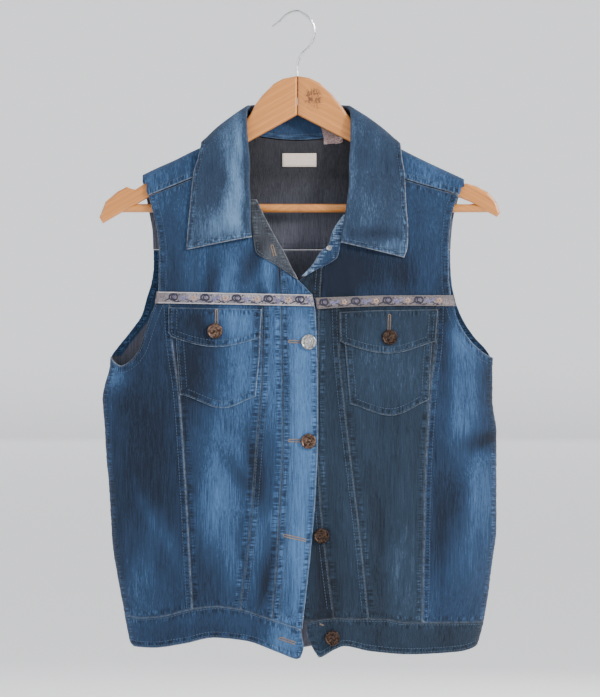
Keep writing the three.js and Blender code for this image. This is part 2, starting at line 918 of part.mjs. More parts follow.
function collarSection([roll, edge], i) {
  const before = collarEnds[Math.max(i - 1, 0)][0];
  const after = collarEnds[Math.min(i + 1, collarEnds.length - 1)][0];
  const along = new THREE.Vector3().subVectors(after, before).normalize();
  const fall = new THREE.Vector3().subVectors(edge, roll);
  fall.addScaledVector(along, -fall.dot(along)).normalize();
  const under = new THREE.Vector3().crossVectors(fall, along).normalize();
  const centre = roll.clone().addScaledVector(fall, ROLL_RADIUS);
  centre.addScaledVector(under, ROLL_RADIUS);
  const line = [];
  const lip = centre.clone().addScaledVector(under, ROLL_RADIUS);
  line.push(lip.clone().addScaledVector(fall, LIP_LENGTH));
  for (const turn of ROLL_TURNS) {
    const angle = THREE.MathUtils.degToRad(turn);
    const point = centre.clone().addScaledVector(under, ROLL_RADIUS * Math.cos(angle));
    line.push(point.addScaledVector(fall, -ROLL_RADIUS * Math.sin(angle)));
  }
  const top = line[line.length - 1];
  for (const step of FALL_STEPS) {
    const puff = FALL_PUFF * Math.sin(step * Math.PI);
    line.push(top.clone().lerp(edge, step).addScaledVector(under, -puff));
  }
  return line;
}

const collarNet = collarEnds.map(collarSection);
add("collar", wallGeometry(offsetGrid(collarNet, -COLLAR_CLOTH)), "denim");

// The collar stand: its back inside the neck, and its two front ends, turned out.
const STAND_ROWS = 4;
const STAND_FROM = 12; // the collar rows between which the back of the stand lies
const STAND_TO = 16;
const STAND_INSET = 36; // how much narrower its foot is than the neck
const STAND_FOOT = NECK_RIGHT - NECK_LEFT - STAND_INSET;
const STAND_SPREAD = STAND_FOOT / (COLLAR_ROWS[STAND_TO][0] - COLLAR_ROWS[STAND_FROM][0]);
const standNet = [];
for (let i = STAND_FROM; i <= STAND_TO; i++) {
  const [lip, next] = collarNet[i];
  const down = new THREE.Vector3().subVectors(lip, next).normalize();
  const top = lip.clone().addScaledVector(down, 2 * SEAM_GAP);
  const across = ORIGIN_ACROSS + (COLLAR_ROWS[i][0] - ORIGIN_ACROSS) * STAND_SPREAD;
  const foot = bodyPoint(BACK, across, backNeckline(across), -COLLAR_CLOTH);
  foot.z += 4 * SEAM_GAP;
  const line = [];
  for (let k = 0; k <= STAND_ROWS; k++) line.push(top.clone().lerp(foot, k / STAND_ROWS));
  standNet.push(line);
}
add("stand_back", wallGeometry(offsetGrid(standNet, COLLAR_CLOTH)), "denim_inside");

// A small blank patch sewn on the stand and hanging over the neck seam at one side.
// Columns: the collar row it lies on, where on the stand it begins, how far it hangs below.
const PATCH_ROWS = [
  [15, 0.5, 6.6],
  [16, 0.5, 8.8],
];
const patchNet = PATCH_ROWS.map(([row, from, hang]) => {
  const top = standNet[row - STAND_FROM][0];
  const foot = standNet[row - STAND_FROM][STAND_ROWS];
  const line = [top.clone().lerp(foot, from), foot.clone(), foot.clone()];
  line[2].z -= hang;
  return line.map((point) => ({
    outer: point.clone().add(new THREE.Vector3(0, -OVERLAY_GAP - TRIM_CLOTH, 0)),
    inner: point.clone().add(new THREE.Vector3(0, -OVERLAY_GAP, 0)),
  }));
});
add("neck_patch", wallGeometry(patchNet), "label");

const lapel = { side: FRONT, gap: 0, thick: COLLAR_CLOTH, columns: 2, rows: 8 };
const LAPEL_LIFT = 2.1;
add("stand_left", panelGeometry({
  ...lapel,
  left: curve([[200, 249], [239, 254], [252, 256.5], [266, 277.6], [280, 297.5]]),
  right: curve([[200, 257], [223, 268], [239, 276.6], [252.4, 284.3], [270, 293], [280, 298.6]]),
  top: constant(200),
  bottom: constant(279.4),
  shift: () => LAPEL_LIFT,
  nearTop: 200,
  nearBottom: 279,
}), "denim_inside");
add("stand_right", panelGeometry({
  ...lapel,
  left: curve([[215, 343], [231, 332.5], [246, 327.6], [252, 320.6], [265.5, 311.9], [277, 301]]),
  right: curve([[215, 347], [245, 340], [257, 337.4], [263, 330.4], [270, 316.3], [277, 304]]),
  top: constant(215),
  bottom: constant(276.4),
  shift: () => LAPEL_LIFT,
  nearTop: 215,
  nearBottom: 276,
}), "denim");

// Buttons: a domed cap with a raised rim, on a short shank.
const BUTTON_HEIGHT = 3.4;
const SHANK_RADIUS = 3;
const SHANK_HEIGHT = 1.2;
const RIM_WIDTH = 1.4;
const BUTTON_SIDES = 16;

const RIVET_RADIUS = 2.9; // the collar button's back, which shows on the turned-out stand

function buttonGeometry(size) {
  const radius = BUTTON_DIAMETER / 2;
  const cap = BUTTON_HEIGHT;
  const profile = [
    [0, 0],
    [SHANK_RADIUS, 0],
    [SHANK_RADIUS, SHANK_HEIGHT],
    [radius - 0.6, SHANK_HEIGHT],
    [radius, SHANK_HEIGHT + 0.7],
    [radius - RIM_WIDTH / 2, cap],
    [radius - RIM_WIDTH, cap - 0.5],
    [0, cap - 0.1],
  ].map(([across, out]) => new THREE.Vector2(across, -out));
  const lathe = new THREE.LatheGeometry(profile, BUTTON_SIDES);
  lathe.deleteAttribute("normal");
  lathe.deleteAttribute("uv");
  const scale = size / radius;
  return facingOut(mergeVertices(lathe, 1e-3).scale(scale, scale, scale));
}

// Columns: name, across, down, radius, how far its seat lies outside the front, finish.
const BUTTONS = [
  ["button_collar", 328.6, 248.4, RIVET_RADIUS, LAPEL_LIFT, "steel"],
  ["button_front_1", 308.6, 342, BUTTON_DIAMETER / 2, 0, "steel"],
  ["button_front_2", 308.4, 440.5, BUTTON_DIAMETER / 2, 0, "bronze"],
  ["button_front_3", 321.5, 534.5, BUTTON_DIAMETER / 2, -1.6, "bronze"],
  ["button_front_4", 332.2, 636.2, BUTTON_DIAMETER / 2, -0.4, "bronze"],
  ["button_flap_left", 216.9, 331, BUTTON_DIAMETER / 2, FLAP_LIFT + FLAP_LIFT, "bronze"],
  ["button_flap_right", 387.7, 337.3, BUTTON_DIAMETER / 2, FLAP_LIFT + FLAP_LIFT, "bronze"],
];
for (const [name, across, down, radius, seat, finish] of BUTTONS) {
  const mesh = add(name, buttonGeometry(radius), finish);
  mesh.position.copy(bodyPoint(FRONT, across, down, seat + SEAM_GAP));
}

// The hanger: two flat arms that meet under the hook, a round bar and a bent wire hook.
// Columns: across, down. Each outline runs round its arm from the centre joint.
const HEAD_TOP = 76;
const HANGER_APEX = 115;
const ARM_LEFT = [
  [297.4, HANGER_APEX],
  [297.4, HEAD_TOP],
  [283, 78.8],
  [274, 83.7],
  [262.3, 95.4],
  [254.9, 105.3],
  [250.5, 114],
  [240, 128],
  [225, 140.4],
  [200, 151.6],
  [170, 168.6],
  [141.7, 185.6],
  [135.6, 189.5],
  [132.2, 189],
  [127, 186.8],
  [117.6, 191.6],
  [105.5, 202],
  [99.5, 217.4],
  [103, 223.5],
  [121, 213],
  [147, 198.5],
  [250.4, 141],
];
const ARM_RIGHT = [
  [297.7, HANGER_APEX],
  [297.7, HEAD_TOP],
  [309.6, 78],
  [319.6, 82.9],
  [332.8, 95.4],
  [340.3, 104.5],
  [348, 115],
  [358, 128],
  [372, 138],
  [398, 151.6],
  [430, 167.5],
  [452, 178.6],
  [460, 184],
  [467, 183.4],
  [476.8, 186.4],
  [488, 192.4],
  [496.4, 202.2],
  [500, 213],
  [497, 217],
  [485.2, 210.7],
  [471.2, 202.2],
  [455, 196],
  [350, 141.7],
];
const ARM_BEVEL = 2.5;
const HOOK_BORE = WIRE_DIAMETER / 2 + SEAM_GAP;
const HOOK_FOOT = 98;
const BAR_DOWN = 208.2;
const BAR_FROM = 116;
const BAR_TO = 490;

function armGeometry(outline) {
  const shape = new THREE.Shape(
    outline.map(([across, down]) => new THREE.Vector2(toX(across), toZ(down))),
  );
  const plate = new THREE.ExtrudeGeometry(shape, {
    depth: HANGER_THICKNESS - 2 * ARM_BEVEL,
    bevelEnabled: true,
    bevelThickness: ARM_BEVEL,
    bevelSize: ARM_BEVEL,
    bevelOffset: -ARM_BEVEL,
    bevelSegments: 2,
  });
  plate.translate(0, 0, -HANGER_THICKNESS / 2 + ARM_BEVEL);
  plate.rotateX(Math.PI / 2);
  return plate;
}

function rodGeometry(radius, length, sides) {
  return new THREE.CylinderGeometry(radius, radius, length, sides);
}

function solidOf(geometry) {
  const bare = geometry.clone();
  bare.deleteAttribute("normal");
  bare.deleteAttribute("uv");
  const merged = facingOut(mergeVertices(bare, 1e-3));
  return new wasm.Manifold(new wasm.Mesh({
    numProp: 3,
    vertProperties: merged.getAttribute("position").array,
    triVerts: new Uint32Array(merged.index.array),
  }));
}

function geometryOf(solid) {
  const mesh = solid.getMesh();
  const geometry = new THREE.BufferGeometry();
  geometry.setAttribute("position", new THREE.BufferAttribute(mesh.vertProperties, 3));
  geometry.setIndex(new THREE.BufferAttribute(mesh.triVerts, 1));
  return geometry;
}

const BORE_RISE = 10; // how far the hook's bore is cut past the hanger's top
const boreDepth = (HOOK_FOOT - HEAD_TOP) * UNIT + BORE_RISE;
const hookBore = rodGeometry(HOOK_BORE, boreDepth, 12).rotateX(Math.PI / 2);
hookBore.translate(toX(297.6), 0, toZ(HOOK_FOOT) - SEAM_GAP + boreDepth / 2);
const barLength = (BAR_TO - BAR_FROM) * UNIT;
const barMiddle = toX((BAR_FROM + BAR_TO) / 2);
const barBore = rodGeometry(BAR_DIAMETER / 2 + SEAM_GAP, barLength + 2 * SEAM_GAP, 16);
barBore.rotateZ(Math.PI / 2).translate(barMiddle, 0, toZ(BAR_DOWN));
for (const [name, outline] of [["hanger_arm_left", ARM_LEFT], ["hanger_arm_right", ARM_RIGHT]]) {
  const arm = solidOf(armGeometry(outline)).subtract(solidOf(hookBore)).subtract(solidOf(barBore));
  add(name, geometryOf(arm), "wood");
}
const bar = rodGeometry(BAR_DIAMETER / 2, barLength, 16).rotateZ(Math.PI / 2);
add("hanger_bar", bar, "wood").position.set(barMiddle, 0, toZ(BAR_DOWN));

// The hook's centreline. Columns: across, down.
const HOOK_LINE = [
  [297.6, HOOK_FOOT],
  [297.6, 80],
  [297.6, 63],
  [301.3, 54.7],
  [306.3, 49.8],
  [310.8, 44.8],
  [313.6, 38],
  [314.6, 31.5],
  [312.9, 23.2],
  [307.9, 16.6],
  [298, 11.15],
  [290.6, 12.6],
  [284.7, 16.2],
  [279.3, 22],
  [272.6, 27],
];
const HOOK_STEPS = 44;
const hookLine = new THREE.CatmullRomCurve3(
  HOOK_LINE.map(([across, down]) => new THREE.Vector3(toX(across), 0, toZ(down))),
  false,
  "centripetal",
);
const wire = new THREE.Shape();
wire.absarc(0, 0, WIRE_DIAMETER / 2, 0, Math.PI * 2);
add("hanger_hook", new THREE.ExtrudeGeometry(wire, {
  steps: HOOK_STEPS,
  curveSegments: 4,
  extrudePath: hookLine,
}), "steel");

export default garment;
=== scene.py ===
"""A denim vest on a wooden hanger: cloth shells, stitching, trims, materials, lights and camera."""

import math
import random

import bmesh
import bpy
import numpy as np
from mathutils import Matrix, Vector
from mathutils.bvhtree import BVHTree


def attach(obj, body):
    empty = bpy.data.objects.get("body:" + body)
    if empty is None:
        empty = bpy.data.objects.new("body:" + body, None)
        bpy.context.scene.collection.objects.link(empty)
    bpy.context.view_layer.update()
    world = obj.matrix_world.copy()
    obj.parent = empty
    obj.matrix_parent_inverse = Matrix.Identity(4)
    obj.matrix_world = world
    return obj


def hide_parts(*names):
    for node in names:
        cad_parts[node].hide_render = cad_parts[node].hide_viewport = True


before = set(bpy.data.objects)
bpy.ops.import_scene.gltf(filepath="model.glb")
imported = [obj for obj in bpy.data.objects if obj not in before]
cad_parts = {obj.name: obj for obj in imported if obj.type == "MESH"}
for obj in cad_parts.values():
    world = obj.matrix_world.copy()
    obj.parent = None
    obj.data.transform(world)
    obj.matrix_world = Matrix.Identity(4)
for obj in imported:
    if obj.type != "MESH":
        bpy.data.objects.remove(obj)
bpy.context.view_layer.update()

MM = 0.001
UNIT = 1.11  # millimetres for one of the photograph's units
ORIGIN_ACROSS, ORIGIN_DOWN = 298.0, 12.5
FRONT, BACK = -1, 1
CLOTH = 1.5
COLLAR_CLOTH = 1.6
SHOULDER_RADIUS = 8.6
UNDERLAP = 2.2
SECTION_POWER = 2.6
FALL_BELOW_SHOULDER = 90.0
NECK_LEFT, NECK_RIGHT = 236.0, 362.0


def to_x(across):
    return (across - ORIGIN_ACROSS) * UNIT


def to_z(down):
    return (ORIGIN_DOWN - down) * UNIT


def curve(*rows):
    """A smooth curve through rows of (at, value), held flat past its ends, for numbers or arrays."""
    at = np.array([r[0] for r in rows], float)
    value = np.array([r[1] for r in rows], float)
    step = np.diff(value) / np.diff(at)
    slope = np.zeros(len(rows))
    slope[0], slope[-1] = step[0], step[-1]
    for i in range(1, len(rows) - 1):
        a, b = step[i - 1], step[i]
        slope[i] = 0 if a * b <= 0 else 2 * a * b / (a + b)

    def f(x):
        x = np.clip(np.asarray(x, float), at[0], at[-1])
        i = np.clip(np.searchsorted(at, x, side="right") - 1, 0, len(at) - 2)
        span = at[i + 1] - at[i]
        t = (x - at[i]) / span
        rise = value[i + 1] - value[i]
        bend = t * (1 - t) * span * ((1 - t) * slope[i] - t * slope[i + 1])
        return value[i] + rise * t * t * (3 - 2 * t) + bend

    return f


def smooth(low, high, at):
    t = np.clip((at - low) / (high - low), 0, 1)
    return t * t * (3 - 2 * t)


def lerp(a, b, t):
    return a + (b - a) * t


# Side lines and depths of the garment, as in the part's solids. Columns: down, across or depth.
left_side = curve((100, 122), (200, 118), (300, 112), (356, 110.5), (368, 109), (384, 104.5),
                  (398, 102), (425, 104), (460, 106), (480, 108), (512, 110), (544, 112),
                  (576, 117), (608, 123), (626, 126.5), (648, 131))
right_side = curve((100, 482), (200, 487), (300, 491), (360, 493), (400, 493), (432, 497),
                   (528, 497), (560, 493), (592, 489), (616, 485), (640, 479), (655, 474))
front_depth = curve((110, 13), (180, 18), (240, 24), (300, 30), (360, 36), (420, 42),
                    (500, 46), (580, 46), (655, 38))
back_depth = curve((110, 14), (180, 17), (260, 21), (360, 26), (460, 30), (580, 31), (655, 27))
shoulder_line = curve((140.8, 175.8), (157, 168), (175, 160), (190, 152.4), (201, 147.2),
                      (215, 138), (228, 128.5), (NECK_LEFT, 122.5), (NECK_RIGHT, 122.5),
                      (372, 129.5), (385, 139.5), (400, 148.4), (423, 160), (440, 168),
                      (456, 175.4), (466, 180))

# Folds. Columns: from across, from down, to across, to down, half width, height in millimetres.
FRONT_FOLDS = (
    (205, 262, 203, 292, 9, -2.2), (190, 255, 188, 292, 8, 1.8), (236, 252, 240, 295, 10, 2.4),
    (252, 258, 255, 295, 7, -2), (218, 470, 176, 575, 22, 3.4), (150, 430, 172, 590, 20, -3),
    (142, 540, 150, 596, 14, 2.8), (235, 520, 250, 598, 12, -2.2), (372, 430, 385, 560, 20, -2.8),
    (342, 505, 372, 600, 9, 2.2), (400, 530, 376, 600, 10, 2.4), (462, 335, 470, 400, 20, 3),
    (492, 436, 455, 470, 11, -3.2), (466, 480, 452, 585, 18, 3.2))
# Finer creases that only the shells have, and how strongly they stand out.
CREASE_RISE = 1.7
SLACK_RISE = 0.28
SEAM_CLOSE = 0.2  # brings front and back together along the side seams
FRONT_CREASES = (
    (214, 258, 212, 290, 3.5, 0.7), (222, 262, 226, 294, 4, -0.8), (262, 262, 265, 292, 3.5, 0.8),
    (198, 258, 196, 280, 3, -0.6), (384, 262, 380, 290, 6, 0.9), (404, 262, 408, 292, 6, -0.9),
    (430, 255, 436, 292, 7, 0.8), (348, 268, 352, 290, 4, 0.7), (200, 425, 212, 470, 9, -0.9),
    (226, 410, 240, 450, 8, 0.7), (120, 396, 150, 420, 8, 1.2), (116, 418, 152, 444, 9, -1.1),
    (118, 470, 146, 520, 9, 0.9), (124, 520, 140, 560, 6, -0.9), (160, 480, 166, 560, 7, 0.9),
    (206, 560, 196, 600, 5, 0.8), (222, 552, 214, 598, 5, -0.8), (266, 560, 258, 604, 4, 0.7),
    (292, 360, 291, 430, 3.5, 0.6), (294, 455, 292, 520, 4, -0.6), (298, 560, 292, 612, 4, 0.8),
    (374, 500, 380, 546, 6, -0.8), (358, 540, 378, 596, 4, -0.9), (392, 545, 380, 590, 4, -0.9),
    (408, 560, 400, 608, 5, 0.7), (440, 440, 462, 462, 7, 0.9), (480, 400, 452, 424, 7, 0.8),
    (486, 470, 460, 500, 8, 0.8), (488, 520, 462, 548, 8, -0.9), (474, 560, 462, 604, 6, 0.9),
    (440, 520, 438, 590, 6, -0.8), (366, 430, 372, 480, 6, 0.7), (146, 330, 168, 352, 5, 0.9),
    (132, 366, 160, 376, 5, 0.9), (452, 330, 440, 356, 5, 0.8))
BACK_FOLDS = (
    (190, 290, 172, 400, 18, 3), (410, 300, 428, 410, 20, 2.6), (250, 330, 236, 560, 22, -2.6),
    (352, 360, 366, 580, 18, 2.4), (140, 420, 156, 590, 16, -2.4), (455, 430, 440, 590, 17, -2.6),
    (298, 270, 296, 420, 12, 1.8))
BACK_CREASES = (
    (210, 270, 204, 330, 6, 0.9), (236, 262, 232, 300, 5, -0.8), (330, 262, 336, 310, 5, 0.8),
    (380, 270, 390, 330, 7, -0.9), (120, 400, 160, 430, 9, 1.1), (480, 410, 440, 440, 9, -1),
    (200, 470, 190, 590, 8, 0.9), (280, 500, 286, 600, 7, 0.8), (330, 520, 322, 604, 6, -0.8),
    (400, 500, 408, 600, 8, 0.9), (170, 330, 200, 350, 6, -0.8), (430, 330, 400, 352, 6, 0.8))


def fold_height(folds, across, down):
    height = np.zeros(np.broadcast(across, down).shape)
    for x0, y0, x1, y1, width, rise in folds:
        dx, dy = x1 - x0, y1 - y0
        along = np.clip(((across - x0) * dx + (down - y0) * dy) / (dx * dx + dy * dy), 0, 1)
        off = np.hypot(across - x0 - along * dx, down - y0 - along * dy)
        height = height + rise * np.exp(-((off / width) ** 2))
    return height


RIPPLE_WAYS = ((1, 0.31), (-0.47, 0.93), (0.71, -0.62), (0.23, 1.13))


def ripple(across, down, size, seed):
    """A smooth uneven wave from -1 to 1, for puckers and slack cloth."""
    total = 0
    for k, (a, b) in enumerate(RIPPLE_WAYS):
        phase = seed * 1.7 + k * 2.1
        total = total + np.sin((a * across + b * down) * (6.2832 / size) * (1 + 0.21 * k) + phase)
    return total / len(RIPPLE_WAYS)


def body_point(side, across, down, out=0.0):
    """Points of the garment in millimetres, out outside its main surface."""
    across, down = np.broadcast_arrays(np.asarray(across, float), np.asarray(down, float))
    left, right = left_side(down), right_side(down)
    centre, half = (left + right) / 2, (right - left) / 2
    turn = np.clip((across - centre) / half, -1, 1)
    rounded = (1 - np.abs(turn) ** SECTION_POWER) ** (1 / SECTION_POWER)
    full = (front_depth if side == FRONT else back_depth)(down)
    below = np.maximum(0, (down - shoulder_line(across)) * UNIT)
    arch = np.minimum(1, below / SHOULDER_RADIUS)
    near = SHOULDER_RADIUS * np.sqrt(1 - (1 - arch) ** 2)
    grown = smooth(0, FALL_BELOW_SHOULDER, below)
    fold = fold_height(FRONT_FOLDS if side == FRONT else BACK_FOLDS, across, down)
    crease = fold_height(FRONT_CREASES if side == FRONT else BACK_CREASES, across, down)
    fold = fold + CREASE_RISE * crease + SLACK_RISE * ripple(across, down, 46, 3 + side)
    depth = near * (1 - grown) + full * grown * rounded + fold * rounded
    depth = depth + (out + SEAM_CLOSE) * lerp(1, rounded, grown)
    x = to_x(centre) + (half * UNIT + out) * turn
    return np.stack([x, side * depth, to_z(down)], -1)


def arch_point(across, degrees, out):
    angle = math.radians(degrees)
    radius = SHOULDER_RADIUS + out
    top = to_z(shoulder_line(across)) - SHOULDER_RADIUS
    y = radius * math.sin(angle) + 0 * top
    return np.stack([to_x(across) + 0 * top, y, top + radius * math.cos(angle)], -1)


def new_object(name, points, faces, smooth_faces=True):
    mesh = bpy.data.meshes.new(name)
    mesh.from_pydata([tuple(p) for p in np.asarray(points) * MM], [], faces)
    mesh.update()
    piece = bpy.data.objects.new(name, mesh)
    bpy.context.scene.collection.objects.link(piece)
    if smooth_faces:
        mesh.polygons.foreach_set("use_smooth", [True] * len(mesh.polygons))
    return piece


def add_layer(piece, name, values):
    layer = piece.data.attributes.new(name, "FLOAT", "POINT")
    layer.data.foreach_set("value", np.asarray(values, np.float32).ravel())


def face_out(piece):
    bm = bmesh.new()
    bm.from_mesh(piece.data)
    bmesh.ops.recalc_face_normals(bm, faces=bm.faces)
    bm.to_mesh(piece.data)
    bm.free()


cuts = {}
INNER_WEAR = 0.1


def wall(name, outer, inner, keep=None, layers=None):
    """A closed wall between two nets of points; keep says which cells of the net it has."""
    lengths = [np.linalg.norm(np.diff(outer, axis=k), axis=-1).sum(axis=k).max() for k in (0, 1)]
    cuts[name] = tuple(float(length) * MM for length in lengths)
    rows, columns = outer.shape[:2]
    number = np.arange(rows * columns).reshape(rows, columns)
    if keep is None:
        keep = np.ones((rows - 1, columns - 1), bool)
    cells = [
        (number[i, j], number[i + 1, j], number[i + 1, j + 1], number[i, j + 1])
        for i in range(rows - 1) for j in range(columns - 1) if keep[i, j]
    ]
    edges = dict.fromkeys((cell[k], cell[(k + 1) % 4]) for cell in cells for k in range(4))
    total = rows * columns
    faces = [tuple(int(v) for v in cell) for cell in cells]
    faces += [tuple(int(v) + total for v in reversed(cell)) for cell in cells]
    for a, b in edges:
        if (b, a) not in edges:
            faces.append((int(b), int(a), int(a) + total, int(b) + total))
    points = np.concatenate([outer.reshape(-1, 3), inner.reshape(-1, 3)])
    used = sorted({v for f in faces for v in f})
    place = {v: i for i, v in enumerate(used)}
    piece = new_object(name, points[used], [tuple(place[v] for v in f) for f in faces])
    for key, values in (layers or {}).items():
        share = INNER_WEAR if key == "wear" else 1
        both = np.concatenate([np.ravel(values), share * np.ravel(values)])
        add_layer(piece, key, both[used])
    turned = np.ravel((layers or {}).get("turned", np.zeros(total)))
    inside = np.concatenate([np.zeros(total), 1 - turned])
    add_layer(piece, "inside", inside[used])
    face_out(piece)
    return piece


def dense_start(t):
    return 1 - np.cos(t * np.pi / 2)


def dense_end(t):
    return np.sin(t * np.pi / 2)


def dense_ends(t):
    return (1 - np.cos(t * np.pi)) / 2


def even(t):
    return t


# The armholes' hem, turned in so far, shows the cloth's blue face inside, down to the underarm.
HEM, HEM_END = 10.0, 356.0

# Wash fades of the fronts, then of the collar, mixed with painted light and shade: dark patches are
# painted shade where folds turn from the light, under the collar and beside pockets and flaps; light
# patches are painted highlights where folds face the light. Columns: across, down, half width, half
# height, lean, strength.
WASH_AND_SHADE_PATCHES = (
    (150, 450, 46, 130, 0, -0.75), (143, 580, 15, 42, -0.2, 0.45), (160, 528, 9, 34, 0.6, 0.4),
    (108, 470, 4, 120, -0.04, 0.35), (118, 376, 10, 12, 0, 0.7), (196, 370, 18, 40, 0, -0.55),
    (236, 372, 24, 40, 0, 0.3), (218, 452, 20, 34, 0.2, 0.44), (236, 470, 7, 22, 0.6, -0.4),
    (214, 514, 17, 32, 0.1, 0.42), (204, 580, 16, 34, 0, -0.5), (231, 566, 9, 30, 0.1, 0.14),
    (256, 470, 5, 30, 0.2, -0.6), (268, 572, 4, 36, -0.25, -0.55), (257, 560, 6, 34, 0, 0.32),
    (234, 600, 18, 14, 0, -0.2), (272, 370, 10, 70, 0, 0.3), (263, 462, 10, 42, 0, -0.55),
    (262, 515, 10, 20, 0, 0.3), (264, 580, 10, 40, 0, -0.4), (302, 400, 14, 150, 0, 0.62),
    (298, 560, 12, 60, 0, 0.3), (286, 380, 4, 120, 0, -0.22), (262, 320, 5, 34, 0, -0.55),
    (338, 360, 16, 80, 0, -0.25), (340, 460, 16, 60, 0, 0.1), (332, 590, 16, 60, 0, -0.3),
    (386, 372, 34, 30, 0, 0.25), (384, 470, 36, 70, 0, -0.1), (400, 575, 18, 44, 0.1, 0.28),
    (378, 570, 8, 50, 0, -0.4), (440, 440, 10, 130, 0, -0.3), (462, 396, 15, 62, 0.08, 0.48),
    (483, 440, 16, 9, -0.8, -0.75), (482, 488, 12, 36, 0, 0.45), (452, 500, 12, 50, -0.3, -0.35),
    (462, 580, 26, 46, 0, -0.05), (440, 325, 8, 24, -0.2, -0.35), (460, 342, 14, 16, 0.8, 0.3),
    (196, 262, 14, 40, 0, 0.2), (176, 262, 12, 44, 0, -0.35), (226, 276, 12, 26, 0.2, 0.35),
    (212, 274, 5, 24, 0, -0.4), (248, 276, 8, 24, 0, -0.3), (268, 276, 10, 22, 0, 0.35),
    (330, 286, 18, 20, 0, -0.5), (372, 278, 40, 22, 0, -0.35), (430, 250, 12, 50, 0, 0.1),
    (404, 280, 10, 22, 0.1, -0.25), (220, 190, 18, 50, 0, 0.1), (256, 256, 7, 18, -0.45, -0.75),
    (216, 276, 6, 22, -0.3, -0.4), (196, 270, 5, 40, 0, -0.25), (277, 280, 4, 18, -0.1, -0.5),
    (374, 262, 40, 20, 0, -0.35), (344, 262, 14, 26, 0, -0.25), (424, 226, 10, 40, 0, -0.2),
    (488, 395, 8, 34, 0, -0.45), (444, 345, 4, 46, 0, -0.35), (200, 632, 60, 10, 0, -0.3),
    (150, 630, 20, 14, 0, 0.1), (280, 640, 14, 16, 0, 0.35), (420, 636, 60, 14, 0, -0.2),
    (190, 318, 12, 10, 0, -0.25), (240, 322, 16, 12, 0, 0.3), (205, 328, 6, 16, 0.3, -0.35),
    (400, 322, 30, 12, 0, -0.1))
COLLAR_WASH_AND_SHADE_PATCHES = (
    (239, 134, 5, 26, 0.1, 0.45), (234, 170, 6, 24, 0.25, 0.55), (231, 205, 7, 22, -0.1, 0.55),
    (216, 222, 14, 16, 0, 0.22), (247, 150, 4, 44, 0.05, -0.3), (214, 170, 12, 34, 0.1, -0.15),
    (242, 200, 4, 26, -0.15, 0.35), (247, 215, 6, 24, 0, -0.35), (206, 190, 9, 44, -0.1, -0.1),
    (240, 226, 6, 14, 0.5, 0.35), (214, 232, 16, 12, 0, 0.15), (358, 190, 8, 50, 0, -0.1),
    (386, 180, 16, 50, 0, -0.3), (372, 234, 26, 5, -0.1, -0.45), (372, 205, 16, 24, 0, 0.1),
    (392, 246, 12, 8, 0, 0.15))


# Adds up the patches: wash fades together with painted light and shade.
def wash_and_shade_patch(across, down, patches=WASH_AND_SHADE_PATCHES):
    value = np.zeros(np.broadcast(across, down).shape)
    for x, y, half_width, half_height, lean, strength in patches:
        dx = (across - x + lean * -(down - y)) / half_width
        dy = (down - y) / half_height
        value = value + strength * np.exp(-(dx * dx + dy * dy) * 0.7)
    return value


def seam_near(distance, width):
    """1 on a seam, 0 past its width; distance and width in millimetres."""
    return np.exp(-((distance / width) ** 2))


FAR = 99.0  # farther than any seam's puckers reach
MEET_ROUNDS, MEET_SHARE = 40, 0.7
PUCKER_HEIGHT, PUCKER_WIDTH = 0.30, 5.5
SEAM_DIP, SEAM_DIP_WIDTH = 0.55, 1.3
SEAM_WEAR, SEAM_WEAR_WIDTH, FREE_WEAR_WIDTH = 0.86, 1.2, 1.5
ROPING_PLACE, ROPING_WIDTH = 4.2, 2.4
BACK_FADE = 0.28


